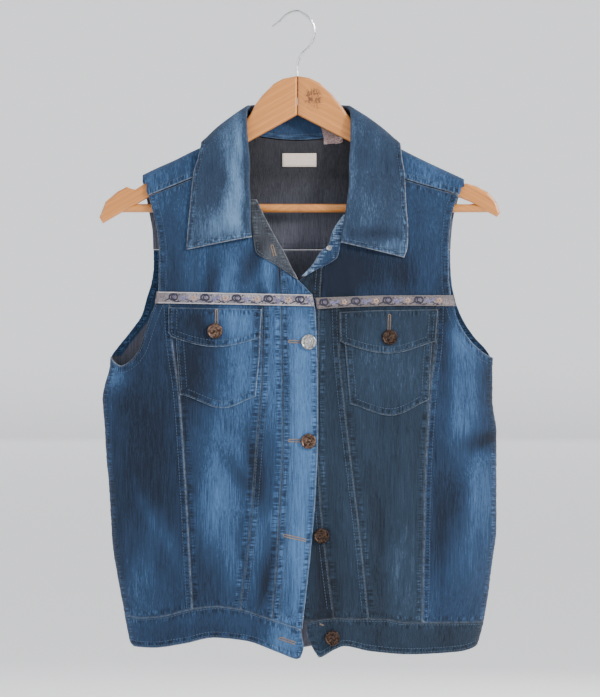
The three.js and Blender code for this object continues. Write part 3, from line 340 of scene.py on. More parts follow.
def panel(name, side, left, right, top, bottom, near_top, near_bottom, step=2.6, spread=even,
          thick=CLOTH, shift=None, gap=0.3, seams="lrtb", free="", turned="", relief=None):
    """A cloth panel between two side curves (by down) and two end curves (by across)."""
    half_gap = gap / 2 / UNIT
    middle = (near_top + near_bottom) / 2
    wide = float(abs(right(middle) - left(middle))) * UNIT
    tall = abs(near_bottom - near_top) * UNIT
    columns = max(3, int(wide / step))
    rows = max(3, int(tall / step))
    t = spread(np.linspace(0, 1, columns + 1))[:, None]

    def across_at(down):
        return lerp(left(down) + half_gap, right(down) - half_gap, t)

    def meet(ends, start):
        down = np.full((columns + 1, 1), float(start))
        for _ in range(MEET_ROUNDS):
            down = lerp(down, ends(across_at(down)), MEET_SHARE)
        return down

    low = meet(top, near_top) + half_gap
    high = meet(bottom, near_bottom) - half_gap
    down = lerp(low, high, np.linspace(0, 1, rows + 1)[None, :])
    across = lerp(left(down) + half_gap, right(down) - half_gap, t)
    edge = {
        "l": (across - left(down)) * UNIT,
        "r": (right(down) - across) * UNIT,
        "t": (down - low) * UNIT * np.ones_like(across),
        "b": (high - down) * UNIT * np.ones_like(across),
    }
    far = np.full(across.shape, FAR)
    nearest = np.minimum.reduce([far] + [edge[k] for k in seams])
    out = np.zeros_like(across) if shift is None else shift(across, down)
    pucker = ripple(across, down, 9, 5) + 0.6 * ripple(across, down, 5.3, 9)
    lift = PUCKER_HEIGHT * pucker * seam_near(nearest, PUCKER_WIDTH)
    lift = lift - SEAM_DIP * seam_near(nearest, SEAM_DIP_WIDTH)
    if relief is not None:
        lift = lift + relief(across, down, edge)
    nearest_free = np.minimum.reduce([far] + [edge[k] for k in free])
    wear = np.maximum(SEAM_WEAR * seam_near(nearest, SEAM_WEAR_WIDTH),
                      seam_near(nearest_free, FREE_WEAR_WIDTH))
    upright = np.minimum.reduce([far] + [edge[k] for k in "lr" if k in seams])
    level = np.minimum.reduce([far] + [edge[k] for k in "tb" if k in seams])
    outer = body_point(side, across, down, out + lift)
    inner = body_point(side, across, down, out + 0.5 * lift - thick)
    layers = {
        # On the fronts the fade layer holds wash fades with painted light and shade; on the back it
        # holds a random wash tone.
        "fade_and_shade": (wash_and_shade_patch(across, down) if side == FRONT
                 else BACK_FADE * ripple(across, down, 120, 2)),
        "wear": wear,
        "roping": seam_near(upright - ROPING_PLACE, ROPING_WIDTH),
        "roping_level": seam_near(level - ROPING_PLACE, ROPING_WIDTH),
    }
    if turned:
        near_hem = np.minimum.reduce([edge[k] for k in turned])
        layers["turned"] = (1 - smooth(HEM - 0.8, HEM + 0.8, near_hem)) * (down < HEM_END)
    return wall(name, outer, inner, layers=layers)


def constant(value):
    return lambda at: np.zeros_like(np.asarray(at, float)) + value


# Seam lines, edges and armholes, as in the part's solids.
left_side_seam = curve((300, 170), (339, 172.7), (396, 180.4), (480, 186.4), (610, 193.5))
left_pocket_seam = curve((300, 263.6), (373, 262.2), (451, 256.2), (520, 251), (615, 239))
left_placket_seam = curve((262, 279.5), (310, 281.1), (442, 282.9), (512, 279.4), (563, 276.8),
                          (615, 272.5))
left_front_edge = curve((290, 311.5), (313, 315.6), (356, 317.3), (425, 318.2), (494, 315.6),
                        (555, 310.4), (624, 302.7))
right_placket_seam = curve((262, 323), (310, 320), (450, 318.5), (497, 320.6), (552, 325.9),
                           (612, 333.6))
right_front_edge = curve((280, 288), (400, 286), (497, 290), (552, 297), (612, 304))
right_pocket_seam = curve((300, 337.6), (349, 339.3), (396, 343.5), (479, 353.3), (544, 361),
                          (613, 368))
right_side_seam = curve((300, 437), (343, 435.4), (382, 430.5), (479, 424.2), (616, 421.5))
left_yoke_seam = curve((157, 297.5), (235, 299), (312, 299.5))
right_yoke_seam = curve((286, 302.5), (341, 303.5), (376, 302), (455, 301))
left_waist_top = curve((124, 614), (139, 616.8), (158, 615.5), (196, 607), (216, 604.7),
                       (235, 606.6), (273, 618), (300, 627))
left_waist_bottom = curve((129, 641), (135, 646), (152, 646.8), (184, 642.3), (214, 636.2),
                          (245, 639), (279, 651), (298.6, 657.6), (303, 652))
right_waist_top = curve((305, 621), (334, 616.8), (384, 617.5), (404, 620.8), (482, 621.5))
right_waist_bottom = curve((306, 640), (312, 648), (319, 656), (334, 648.3), (344, 644.5),
                           (370, 649.6), (410, 652.9), (457, 650.9), (472, 647.6), (480, 642))
left_armhole_front = curve((110, 356), (114, 361.5), (120.8, 365.5), (131.5, 360), (139.5, 349.4),
                           (146.2, 331), (150.9, 316), (155.6, 305), (158.6, 297.6), (172, 297.6))
right_armhole_front = curve((438, 301.6), (451.2, 301.6), (456.7, 319), (467.8, 338),
                            (479, 349.3), (488.6, 355.7), (494, 358))
left_yoke_armhole = curve((190, 147), (210, 152.3), (230, 157), (250, 159.2), (298, 158.8))
right_yoke_armhole = curve((190, 460.5), (218, 451.1), (246, 448.7), (278, 448.7), (302, 451.8))
left_armhole_back = curve((174, 140.8), (190, 144.5), (213, 149), (234, 152.3), (264, 152.9),
                          (281, 150.9), (297, 146.2), (315, 140.9), (329, 131.5), (344, 119.5),
                          (356, 110.5))
right_armhole_back = curve((176, 466), (200, 458), (222, 453), (250, 451), (278, 452),
                           (300, 456), (320, 464), (338, 476), (350, 487), (360, 493))
left_forward_seam = curve((146, 196.6), (149.4, 195.6), (194.4, 178), (247, 157))
right_forward_seam = curve((350, 158), (404.5, 179.8), (457.9, 195.2), (462, 196.4))
left_neckline = curve((155, 243), (180, 246), (215, 251.5), (240, 255.5), (254, 264), (266, 278),
                      (299, 280.8))
right_neckline = curve((155, 355), (180, 352), (215, 346), (240, 339), (256, 331), (266, 323.5),
                       (302, 320.6))
back_neckline = curve((NECK_LEFT, 122.5), (245, 130), (262, 137.5), (298, 140.5), (334, 137.5),
                      (353, 130), (NECK_RIGHT, 122.5))
back_waist_top = curve((122, 613), (158, 612), (196, 604), (216, 601.5), (240, 603.5), (273, 614),
                       (300, 618), (340, 615), (400, 617), (486, 617))
back_waist_bottom = curve((130, 640), (152, 643), (184, 638.5), (214, 632.5), (245, 635.5),
                          (279, 646), (298, 649), (340, 641.5), (370, 646), (410, 649), (457, 647),
                          (478, 641))
YOKE_BACK_SEAM = 249.5


def back_left_edge(down):
    return np.where(down < 356, left_armhole_back(down), left_side(down)) - 0.15 / UNIT


def back_right_edge(down):
    return np.where(down < 360, right_armhole_back(down), right_side(down)) + 0.15 / UNIT


def left_side_edge(down):
    return left_side(down) - 0.15 / UNIT


def right_side_edge(down):
    return right_side(down) + 0.15 / UNIT


def underlap(across, down=0):
    return -UNDERLAP * (1 - smooth(320, 346, across))


def felled(*sides, width=9.0, height=0.55):
    """Raises the cloth beside its seams, where the seam allowance lies folded under."""
    def lift(across, down, edge):
        total = 0
        for side in sides:
            total = np.maximum(total, height * (1 - smooth(width - 1.2, width + 0.6, edge[side])))
        return total
    return lift


def overlay(lift, lower=False):
    def shift(across, down):
        return lift + (underlap(across) if lower else 0) + 0 * across
    return shift


cloth = {}


def make(name, *args, **more):
    cloth[name] = panel(name + "_cloth", *args, **more)


make("side_front_left", FRONT, left_side_edge, left_side_seam, left_armhole_front, left_waist_top,
     350, 612, spread=dense_start, free="t", relief=felled("r", "t", width=8))
make("pocket_panel_left", FRONT, left_side_seam, left_pocket_seam, left_yoke_seam, left_waist_top,
     300, 612)
make("centre_front_left", FRONT, left_pocket_seam, left_placket_seam, left_yoke_seam,
     left_waist_top, 300, 612, relief=felled("l", width=8))
make("side_front_right", FRONT, right_side_seam, right_side_edge, right_armhole_front,
     right_waist_top, 330, 612, spread=dense_end, free="t",
     relief=felled("l", "t", width=8))
make("pocket_panel_right", FRONT, right_pocket_seam, right_side_seam, right_yoke_seam,
     right_waist_top, 300, 612, shift=underlap)
make("centre_front_right", FRONT, right_placket_seam, right_pocket_seam, right_yoke_seam,
     right_waist_top, 300, 612, shift=underlap, relief=felled("r", width=8))
make("placket_over", FRONT, left_placket_seam, left_front_edge,
     curve((279, 267.5), (290, 274), (299, 281), (312, 294.5)), left_waist_top, 280, 612,
     relief=felled("l", "r", width=9, height=0.4), step=2.0, free="r")
make("placket_under", FRONT, right_front_edge, right_placket_seam,
     curve((287, 291), (300, 280), (311, 271), (323, 265)), curve((286, 622), (334, 616.8)),
     280, 612, shift=underlap, relief=felled("r", width=9, height=0.4))
make("front_yoke_left", FRONT, left_yoke_armhole, left_neckline, left_forward_seam,
     left_yoke_seam, 180, 299, relief=felled("l", width=8), seams="lt", free="l")
make("front_yoke_right", FRONT, right_neckline, right_yoke_armhole, right_forward_seam,
     right_yoke_seam, 180, 302, shift=underlap, relief=felled("r", width=8), seams="rt",
     free="r")
make("back_panel", BACK, back_left_edge, back_right_edge, constant(YOKE_BACK_SEAM),
     back_waist_top, 250, 620, spread=dense_ends, step=3.2, turned="lr")
BAND = dict(near_top=618, near_bottom=646, thick=2.0, step=2.2, free="b")
make("waistband_left", FRONT, left_side_edge,
     curve((600, 303.5), (628, 301.3), (645, 303.7), (658, 300)), left_waist_top,
     left_waist_bottom, spread=dense_start, shift=overlay(0.4), **BAND)
make("waistband_right", FRONT, curve((610, 306.5), (630, 306.5), (644, 311.4), (656, 318.8)),
     right_side_edge, right_waist_top, right_waist_bottom, spread=dense_end,
     shift=overlay(0.4, True), **BAND)
make("waistband_back", BACK, left_side_edge, right_side_edge, back_waist_top, back_waist_bottom,
     spread=dense_ends, shift=overlay(0.4), **BAND)

POCKET_CLOTH, OVERLAY_GAP = 1.2, 0.5
FLAP_LIFT = OVERLAY_GAP + POCKET_CLOTH
PATCH = dict(thick=POCKET_CLOTH, gap=0.0, step=2.0, free="lrb")
# Left side, right side, top and pointed bottom of each pocket and flap.
PATCH_OUTLINES = {
    "pocket_left": (
        curve((318, 176.5), (346, 177.8), (394, 181.3), (408, 182)),
        curve((318, 261), (346, 260.5), (396, 256.2), (408, 255.4)), constant(320),
        curve((181, 394.4), (186, 395.4), (223.5, 407.8), (253, 397.4), (257, 396.2))),
    "flap_left": (
        curve((308, 170.8), (332, 170.9), (348, 171.4)),
        curve((308, 262.7), (338, 260.8), (348, 260.4)), curve((170, 307.6), (263, 309.4)),
        curve((171, 333), (174.5, 337), (218.3, 347), (258, 338.6), (261, 337))),
    "pocket_right": (
        curve((322, 343), (350, 345), (400, 349), (416, 350)),
        curve((322, 432.6), (354, 430), (396, 427.7), (416, 427)), constant(325),
        curve((348, 403), (353, 404.6), (389.8, 415.2), (426, 400), (429, 398.6))),
    "flap_right": (
        curve((312, 339), (340, 339.6), (354, 340)),
        curve((312, 435.4), (341, 433.4), (354, 433)),
        curve((338, 312.4), (376, 310.6), (436, 309.6)),
        curve((339, 340.6), (342, 343), (388.4, 353.5), (431, 342), (434, 341))),
}
# Columns: piece, start of the search for its top and its bottom, lift.
for name, near_top, near_bottom, lift in (
        ("pocket_left", 320, 400, FLAP_LIFT), ("flap_left", 308, 340, 2 * FLAP_LIFT),
        ("pocket_right", 325, 406, FLAP_LIFT), ("flap_right", 312, 346, 2 * FLAP_LIFT)):
    seams = "lrb" if name.startswith("pocket") else "lrtb"
    make(name, FRONT, *PATCH_OUTLINES[name], near_top, near_bottom,
         shift=overlay(lift, name.endswith("right")), seams=seams, **PATCH)

RIBBON_LIFT = 1.8
RIBBON = dict(near_top=294, near_bottom=306, thick=0.8, gap=0.0, step=2.0, seams="")
# Top and bottom edge of each ribbon.
RIBBON_EDGES = {
    "ribbon_left": (curve((157, 291.6), (235, 293.2), (312, 294.8)),
                    curve((156, 303.6), (235, 305), (314, 306.6))),
    "ribbon_right": (curve((312, 298), (341, 297), (376, 295.8), (452, 295.3)),
                     curve((314, 309.6), (350, 307.4), (408, 306), (454, 306.4))),
}
make("ribbon_left", FRONT, curve((290, 158.6), (306, 156)), curve((292, 311.6), (307, 314)),
     *RIBBON_EDGES["ribbon_left"], shift=overlay(RIBBON_LIFT), **RIBBON)
make("ribbon_right", FRONT, curve((296, 314.6), (310, 317)), curve((294, 450.8), (307, 454)),
     *RIBBON_EDGES["ribbon_right"], shift=overlay(RIBBON_LIFT, True), **RIBBON)
LAPEL = dict(shift=overlay(2.1), gap=0.0, thick=1.6, step=1.6)
make("stand_left", FRONT, curve((200, 249), (239, 254), (252, 256.5), (266, 277.6), (280, 297.5)),
     curve((200, 257), (223, 268), (239, 276.6), (252.4, 284.3), (270, 293), (280, 298.6)),
     constant(200), constant(279.4), 200, 279, **LAPEL)
make("stand_right", FRONT,
     curve((215, 343), (231, 332.5), (246, 327.6), (252, 320.6), (265.5, 311.9), (277, 301)),
     curve((215, 347), (245, 340), (257, 337.4), (263, 330.4), (270, 316.3), (277, 304)),
     constant(215), constant(276.4), 215, 276, **LAPEL)
INSIDE = dict(gap=0.0, thick=0.8, step=2.5, shift=overlay(-CLOTH - 0.35))
make("neck_label", BACK, constant(282), constant(316.5), constant(153), constant(166.5), 153, 166,
     **INSIDE)


def back_yoke():
    """The yoke: a band behind the neck and a flap over each shoulder to the forward seam."""
    shoulder_columns, neck_columns = 34, 44
    flap_rows, yoke_rows = 7, 50
    turns = np.linspace(-90, 90, 13)
    open_rows = flap_rows + len(turns) - 1
    columns, missing = [], []

    def add_column(zone, t):
        ends = {
            "left": (left_armhole_back, constant(NECK_LEFT)),
            "neck": (constant(NECK_LEFT), constant(NECK_RIGHT)),
            "right": (constant(NECK_RIGHT), right_armhole_back),
        }[zone]

        def across(down):
            return lerp(ends[0](down), ends[1](down), t)

        outer, inner, near = [], [], []
        if zone == "neck":
            x = float(across(0))
            start = float(back_neckline(x))
            first = body_point(BACK, x, start)
            outer += [first] * (open_rows + 1)
            inner += [body_point(BACK, x, start, -CLOTH)] * (open_rows + 1)
            near += [0.0] * (open_rows + 1)
        else:
            seam = left_forward_seam if zone == "left" else right_forward_seam
            armhole = left_yoke_armhole if zone == "left" else right_yoke_armhole
            top_x = float(across(182))

            def front_x(down):
                if zone == "left":
                    return float(lerp(armhole(down), NECK_LEFT, t))
                return float(lerp(NECK_RIGHT, armhole(down), t))

            start = float(seam(front_x(190))) - 0.9
            arch_end = float(shoulder_line(top_x)) + SHOULDER_RADIUS / UNIT
            for k in range(flap_rows):
                down = lerp(start, arch_end, k / flap_rows)
                lift = 0.5 * float(1 - smooth(7, 9, (start - down) * UNIT))
                outer.append(body_point(FRONT, front_x(down), down, lift))
                inner.append(body_point(FRONT, front_x(down), down, -CLOTH))
                near.append((start - down) * UNIT)
            for turn in turns:
                outer.append(arch_point(top_x, turn, 0))
                inner.append(arch_point(top_x, turn, -CLOTH))
                near.append(FAR)
            start = float(shoulder_line(top_x)) + 8
        last = YOKE_BACK_SEAM - 0.15 / UNIT
        for k in range(1, yoke_rows + 1):
            down = lerp(start, last, k / yoke_rows)
            x = float(across(down))
            outer.append(body_point(BACK, x, down))
            inner.append(body_point(BACK, x, down, -CLOTH))
            from_neck = (down - start) * UNIT if zone == "neck" else FAR
            near.append(min((last - down) * UNIT, from_neck))
        columns.append((outer, inner, near))
        missing.append(zone == "neck")

    for k in range(shoulder_columns + 1):
        add_column("left", k / shoulder_columns)
    for k in range(1, neck_columns):
        add_column("neck", k / neck_columns)
    for k in range(shoulder_columns + 1):
        add_column("right", k / shoulder_columns)
    outer = np.array([c[0] for c in columns])
    inner = np.array([c[1] for c in columns])
    near = np.array([c[2] for c in columns])
    keep = np.ones((outer.shape[0] - 1, outer.shape[1] - 1), bool)
    for i in range(len(columns) - 1):
        if missing[i] or missing[i + 1]:
            keep[i, :open_rows] = False
    layers = {
        "fade_and_shade": 0.1 + 0 * near,
        "wear": seam_near(near, 1.6),
        "roping_level": seam_near(near - 3.0, 3.6),
    }
    return wall("back_yoke_cloth", outer, inner, keep, layers)


cloth["back_yoke"] = back_yoke()

# The collar: a row for each section round the neck, as in the part's solids.
# Columns: roll across, down, depth, edge across, down, depth (None lies on the front).
COLLAR_LIFT, EDGE_LIFT = 7.2, 2.6
ROLL_RADIUS, LIP_LENGTH, FALL_PUFF = 2.2, 7.0, 2.0
COLLAR_ROWS = (
    (253.5, 237.5, None, 188.6, 250, None), (253, 228, None, 188.7, 243, None),
    (252.5, 215, None, 190, 226, None), (252.3, 200, None, 191.6, 208, None),
    (251.4, 182, None, 193.2, 190, None), (250, 164, -20, 195.4, 172, None),
    (248.6, 147, -18.5, 198, 159, -15), (247.2, 130, -16.5, 200, 150, -13.5),
    (246.6, 116, -13, 201, 145.5, -11), (247, 106.5, -6, 201.2, 142.5, -5),
    (248.4, 104.4, 0, 201.8, 142, 2), (250.6, 104, 8, 205, 145, 12),
    (264, 103.8, 12.5, 220, 166, 20), (280, 104, 15.5, 250, 173, 22.5),
    (298, 104.2, 16.5, 298, 176, 23), (316, 104.2, 15.5, 346, 173, 22.5),
    (332, 104.2, 12.5, 380, 166, 20), (346.4, 104.2, 8, 396.4, 146, 12),
    (348.6, 104.6, 0, 399.6, 143, 2), (350, 106.5, -6, 400.2, 143.5, -5),
    (350.8, 116, -13, 400.6, 146.5, -11), (350.6, 130, -16.5, 401, 151, -13.5),
    (350.2, 147, -18.5, 402, 160, -15), (349, 164, -20, 403.2, 174, None),
    (347.6, 182, None, 404, 190, None), (345.6, 200, None, 404.8, 208, None),
    (343.4, 215, None, 406.4, 228, None), (341, 231, None, 406, 246, None),
    (339.6, 243, None, 402.5, 257.9, None))
# Soft creases of the collar's leaves, with the columns of the body's folds.
COLLAR_CREASES = (
    (241, 118, 233, 150, 4.5, 1.7), (233, 150, 226, 204, 5, 1.8), (247, 150, 244, 226, 5, -1.3),
    (214, 165, 207, 236, 5, 0.7), (220, 214, 240, 232, 4, 0.9), (352, 239, 397, 233.5, 2.6, -1.5),
    (352, 235, 396, 228, 4, 0.9), (362, 150, 360, 220, 6, 0.8), (388, 160, 394, 220, 6, -0.8),
    (374, 170, 376, 222, 5, 0.6))
COLLAR_STEPS = 150
ROLL_TURNS = 9
FALL_COLUMNS = 30


def collar_end(across, down, depth, lift):
    if depth is None:
        return body_point(FRONT, across, down, lift)
    return np.array([to_x(across), depth, to_z(down)])


def unit(v):
    return v / np.linalg.norm(v, axis=-1, keepdims=True)


def run_along(points):
    """How far along its line each point lies, for one line or a net of them."""
    steps = np.linalg.norm(np.diff(points, axis=0), axis=-1)
    return np.concatenate([np.zeros_like(steps[:1]), np.cumsum(steps, axis=0)])


def collar_net():
    """Points over the collar, a row for each section, from the lip over the roll to the edge."""
    rolls = np.array([collar_end(*row[:3], COLLAR_LIFT) for row in COLLAR_ROWS])
    edges = np.array([collar_end(*row[3:], EDGE_LIFT) for row in COLLAR_ROWS])
    at = np.arange(len(COLLAR_ROWS), dtype=float)
    fine = np.linspace(0, at[-1], COLLAR_STEPS + 1)

    def refined(points):
        return np.stack([curve(*zip(at, points[:, k]))(fine) for k in range(3)], -1)

    rolls, edges = refined(rolls), refined(edges)
    along = unit(np.gradient(rolls, axis=0))
    fall = edges - rolls
    fall = unit(fall - along * (fall * along).sum(-1, keepdims=True))
    under = unit(np.cross(fall, along))
    centre = rolls + fall * ROLL_RADIUS + under * ROLL_RADIUS
    lip = centre + under * ROLL_RADIUS
    lines = [lip + fall * LIP_LENGTH, lip + fall * LIP_LENGTH / 2]
    for turn in np.linspace(0, np.pi, ROLL_TURNS):
        lines.append(centre + under * ROLL_RADIUS * np.cos(turn) - fall * ROLL_RADIUS * np.sin(turn))
    top = lines[-1]
    share = fine / at[-1]
    for step in np.linspace(0, 1, FALL_COLUMNS + 1)[1:]:
        puff = FALL_PUFF * np.sin(step * np.pi)
        slack = 0.35 * ripple(share * 900, step * 60, 60, 4) * np.sin(step * np.pi)
        lines.append(lerp(top, edges, step) - under * (puff + slack)[:, None])
    return np.stack(lines, 1)


def net_normals(net):
    along = np.gradient(net, axis=0)
    across = np.gradient(net, axis=1)
    return unit(np.cross(along, across))


def run_to_edge(net):
    """How far each point of the net lies from its last column, along its row."""
    return run_along(net[:, ::-1].swapaxes(0, 1)).T[:, ::-1]


NET = collar_net()
NET_NORMALS = net_normals(NET)
TO_EDGE = run_to_edge(NET)


def make_collar():
    net, normals, to_edge = NET, NET_NORMALS, TO_EDGE
    from_start = run_along(net)
    to_side = np.minimum(from_start, from_start[-1] - from_start)
    near = np.minimum(to_edge, to_side)
    pucker = ripple(from_start, to_edge, 8, 3) * seam_near(near - 4, 4)
    lift = 0.22 * pucker - 0.35 * seam_near(near - 5.6, 0.9) + 0.25 * (1 - smooth(4.5, 6, near))
    roll = seam_near(to_edge - to_edge[:, [ROLL_TURNS // 2 + 2]], 5)
    across, down = net[..., 0] / UNIT + ORIGIN_ACROSS, ORIGIN_DOWN - net[..., 2] / UNIT
    leaf = smooth(2, -6, net[..., 1]) * (np.arange(net.shape[1]) > ROLL_TURNS + 2)
    crease = fold_height(COLLAR_CREASES, across, down) * leaf
    outer = net + normals * (lift + crease)[..., None]
    inner = net + normals * (crease - COLLAR_CLOTH)[..., None]
    # The collar's fade layer holds wash fades with painted light and shade on its leaves.
    fade_and_shade = wash_and_shade_patch(across, down, COLLAR_WASH_AND_SHADE_PATCHES) * leaf + 0.1 * ripple(from_start, to_edge, 70, 6)
    layers = {"fade_and_shade": fade_and_shade, "wear": np.maximum(seam_near(near, 1.2), 0.5 * roll),
              "roping": 0.6 * seam_near(near - 3.4, 2.4),
              "roping_level": 0.7 * seam_near(near - 3.4, 2.4)}
    return wall("collar_cloth", outer, inner, layers=layers)


cloth["collar"] = make_collar()


# The stand runs between these rows of the collar and spreads to its foot's width across.
STAND_FIRST, STAND_LAST = 12, 16
STAND_FOOT_WIDTH = 90
STAND_SPREAD = STAND_FOOT_WIDTH / (COLLAR_ROWS[STAND_LAST][0] - COLLAR_ROWS[STAND_FIRST][0])
STAND_TUCK, STAND_FOOT_RISE = 0.6, 1.2


def fine_row(position):
    """The collar's fine row at a place along COLLAR_ROWS."""
    return round(position * COLLAR_STEPS / (len(COLLAR_ROWS) - 1))


def stand_run(k):
    """The stand's top and foot at one of the collar's fine rows."""
    top = NET[k, 0] + unit(NET[k, 0] - NET[k, 1]) * STAND_TUCK
    across = ORIGIN_ACROSS + (NET[k, 2][0] / UNIT) * STAND_SPREAD
    foot = body_point(BACK, across, back_neckline(across), -COLLAR_CLOTH)
    return top, foot + np.array([0, 0, STAND_FOOT_RISE])


PATCH_SECTIONS, PATCH_HANG_STEPS = 13, 5
PATCH_FORWARD, PATCH_CLOTH = 1.3, 0.8


def make_patch():
    """The small patch on the stand, hanging over the neck seam."""
    rows = []
    for t in np.linspace(0, 1, PATCH_SECTIONS):
        top, foot = stand_run(fine_row(lerp(15.05, STAND_LAST, t)))
        hang = lerp(6.6, 8.8, t) + 0.3 * math.sin(t * 9)
        line = [lerp(top, foot, s) for s in np.linspace(0.5, 1, 6)]
        line += [foot - np.array([0, 0, hang * s]) for s in np.linspace(0.2, 1, PATCH_HANG_STEPS)]
        rows.append(line)
    front = np.array(rows) - np.array([0, PATCH_FORWARD, 0])
    layers = {"fade_and_shade": np.zeros(front.shape[:2])}
    return wall("neck_patch_cloth", front, front + np.array([0, PATCH_CLOTH, 0]), layers=layers)


cloth["neck_patch"] = make_patch()


def make_stand():
    """The back of the stand, inside the neck, from the collar's lip to the neck seam."""
    outer = np.array([
        [lerp(*stand_run(k), t) for t in np.linspace(0, 1, 14)]
        for k in range(fine_row(STAND_FIRST), fine_row(STAND_LAST) + 1)])
    inner = outer + net_normals(outer) * COLLAR_CLOTH
    near = np.linspace(28, 0, 14)[None, :] * np.ones(outer.shape[:2])
    layers = {"fade_and_shade": 0 * near, "wear": 0.8 * seam_near(near, 1.4), "roping": seam_near(near - 3, 3)}
    return wall("stand_back_cloth", outer, inner, layers=layers)


cloth["stand_back"] = make_stand()


# Buttons: a cap with a raised rim, a ring of small bosses and a centre boss, on a shank.
BUTTON_RADIUS = 8.5
RIVET_RADIUS = 2.9  # the collar button's back, on the turned-out stand
# Columns: name, across, down, seat above the cloth, radius, slot.
BUTTONS = (
    ("button_collar", 328.6, 248.4, 2.1, RIVET_RADIUS, "button_silver"),
    ("button_front_1", 308.6, 342, 0.3, BUTTON_RADIUS, "button_silver"),
    ("button_front_2", 308.4, 440.5, 0.3, BUTTON_RADIUS, "button_bronze"),
    ("button_front_3", 321.5, 534.5, -1.5, BUTTON_RADIUS, "button_bronze"),
    ("button_front_4", 332.2, 636.2, -0.4, BUTTON_RADIUS, "button_bronze"),
    ("button_flap_left", 216.9, 331, 2 * FLAP_LIFT, BUTTON_RADIUS, "button_bronze"),
    ("button_flap_right", 387.7, 337.3, 2 * FLAP_LIFT, BUTTON_RADIUS, "button_bronze"))
# The button's outline: radius, height.
BUTTON_PROFILE = (
    (0, 0), (3, 0), (3, 1.2), (7.6, 1.2), (8.2, 1.5), (8.5, 2.1), (8.4, 2.7), (8.0, 3.25),
    (7.5, 3.4), (7.0, 3.3), (6.7, 2.95), (6.3, 2.85), (5.2, 2.95), (4.3, 3.0), (4.1, 3.15),
    (3.9, 3.0), (2.4, 3.1), (2.1, 3.3), (1.2, 3.38), (0, 3.4))
BUTTON_SIDES = 48
BOSSES = 12


def make_button(name, across, down, seat, radius_now):
    points, faces = [], []
    for radius, out in BUTTON_PROFILE[1:-1]:
        for k in range(BUTTON_SIDES):
            a = 2 * math.pi * k / BUTTON_SIDES
            boss = 0.28 * max(0, math.cos(a * BOSSES)) * float(seam_near(radius - 5.6, 0.9))
            points.append((radius * math.cos(a), -(out + boss), radius * math.sin(a)))
    rings = len(BUTTON_PROFILE) - 2
    for i in range(rings - 1):
        for k in range(BUTTON_SIDES):
            n = (k + 1) % BUTTON_SIDES
            faces.append((i * BUTTON_SIDES + k, i * BUTTON_SIDES + n,
                          (i + 1) * BUTTON_SIDES + n, (i + 1) * BUTTON_SIDES + k))
    points += [(0, 0, 0), (0, -BUTTON_PROFILE[-1][1], 0)]
    base, tip = len(points) - 2, len(points) - 1
    for k in range(BUTTON_SIDES):
        n = (k + 1) % BUTTON_SIDES
        faces.append((base, n, k))
        top = (rings - 1) * BUTTON_SIDES
        faces.append((tip, top + k, top + n))
    centre = body_point(FRONT, across, down, seat + 0.3)
    scale = radius_now / BUTTON_RADIUS
    piece = new_object(name + "_piece", np.array(points) * scale + centre, faces)
    face_out(piece)
    return piece


buttons = {name: make_button(name, *spec) for name, *spec, _ in BUTTONS}


# Sewing: short threads laid on a cloth piece, one object of threads for each piece.
STITCH, STITCH_GAP, THREAD = 2.4, 0.9, 0.33
EDGE_ROW, INNER_ROW, COLLAR_ROW = 1.7, 6.6, 5.6
threads = {}


class Threads:
    """Threads on one cloth piece, found by rays along the depth."""

    def __init__(self, name):
        mesh = cloth[name].data
        self.tree = BVHTree.FromPolygons([v.co[:] for v in mesh.vertices],
                                         [p.vertices[:] for p in mesh.polygons])
        self.points, self.faces = [], []

    def hit(self, across, down, side):
        start = Vector((to_x(across) * MM, side * 0.5, to_z(down) * MM))
        place, normal, _, _ = self.tree.ray_cast(start, Vector((0, -side, 0)))
        if place is None:
            return None
        if normal.y * side < 0:
            normal = -normal
        return np.array(place) / MM, np.array(normal)

    def thread(self, start, end, normal, half=THREAD, lift=0.22):
        """One thread: three sections of four points, sunk at both ends."""
        along = unit(end - start)
        beside = unit(np.cross(normal, along))
        base = len(self.points)
        for t, size, up in ((0, 0.6, -0.12), (0.22, 1, lift), (0.78, 1, lift), (1, 0.6, -0.12)):
            centre = lerp(start, end, t) + normal * up
            for a, b in ((-1, 0), (0, 1), (1, 0), (0, -1)):
                self.points.append(centre + half * size * (a * beside + b * normal))
        for k in range(3):
            for c in range(4):
                n = (c + 1) % 4
                self.faces.append((base + 4 * k + c, base + 4 * k + n, base + 4 * k + 4 + n,
                                   base + 4 * k + 4 + c))
        self.faces.append((base, base + 3, base + 2, base + 1))
        self.faces.append((base + 12, base + 13, base + 14, base + 15))

    def along_points(self, places, stitch=STITCH, gap=STITCH_GAP):
        """Stitches along points with normals; a miss breaks the row."""
        runs, run = [], []
        for place in places:
            jump = run and place is not None and np.linalg.norm(place[0] - run[-1][0]) > 4
            if place is None or jump:
                runs.append(run)
                run = []
            if place is not None:
                run.append(place)
        runs.append(run)
        for run in runs:
            if len(run) < 2:
                continue
            points = np.array([p for p, _ in run])
            normals = np.array([n for _, n in run])
            far = run_along(points)
            at = gap / 2
            while at + stitch < far[-1]:
                start, end, normal = (
                    np.array([np.interp(s, far, list_[:, k]) for k in range(3)])
                    for s, list_ in ((at, points), (at + stitch, points), (at + stitch / 2, normals)))
                self.thread(start, end, unit(normal))
                at += stitch + gap

    def row(self, line, side=FRONT, **sizes):
        points = np.array(line, float)
        far = run_along(points)
        fine = np.linspace(0, far[-1], max(2, int(far[-1] / 0.9)))
        self.along_points([self.hit(np.interp(s, far, points[:, 0]), np.interp(s, far, points[:, 1]),
                                    side) for s in fine], **sizes)


def on(name):
    if name not in threads:
        threads[name] = Threads(name)
    return threads[name]


def down_line(edge, start, end, shift=0.0):
    """Points down a side curve, shifted across by millimetres."""
    return [(float(edge(d)) + shift / UNIT, d) for d in np.arange(start, end + 0.1, 3.0)]


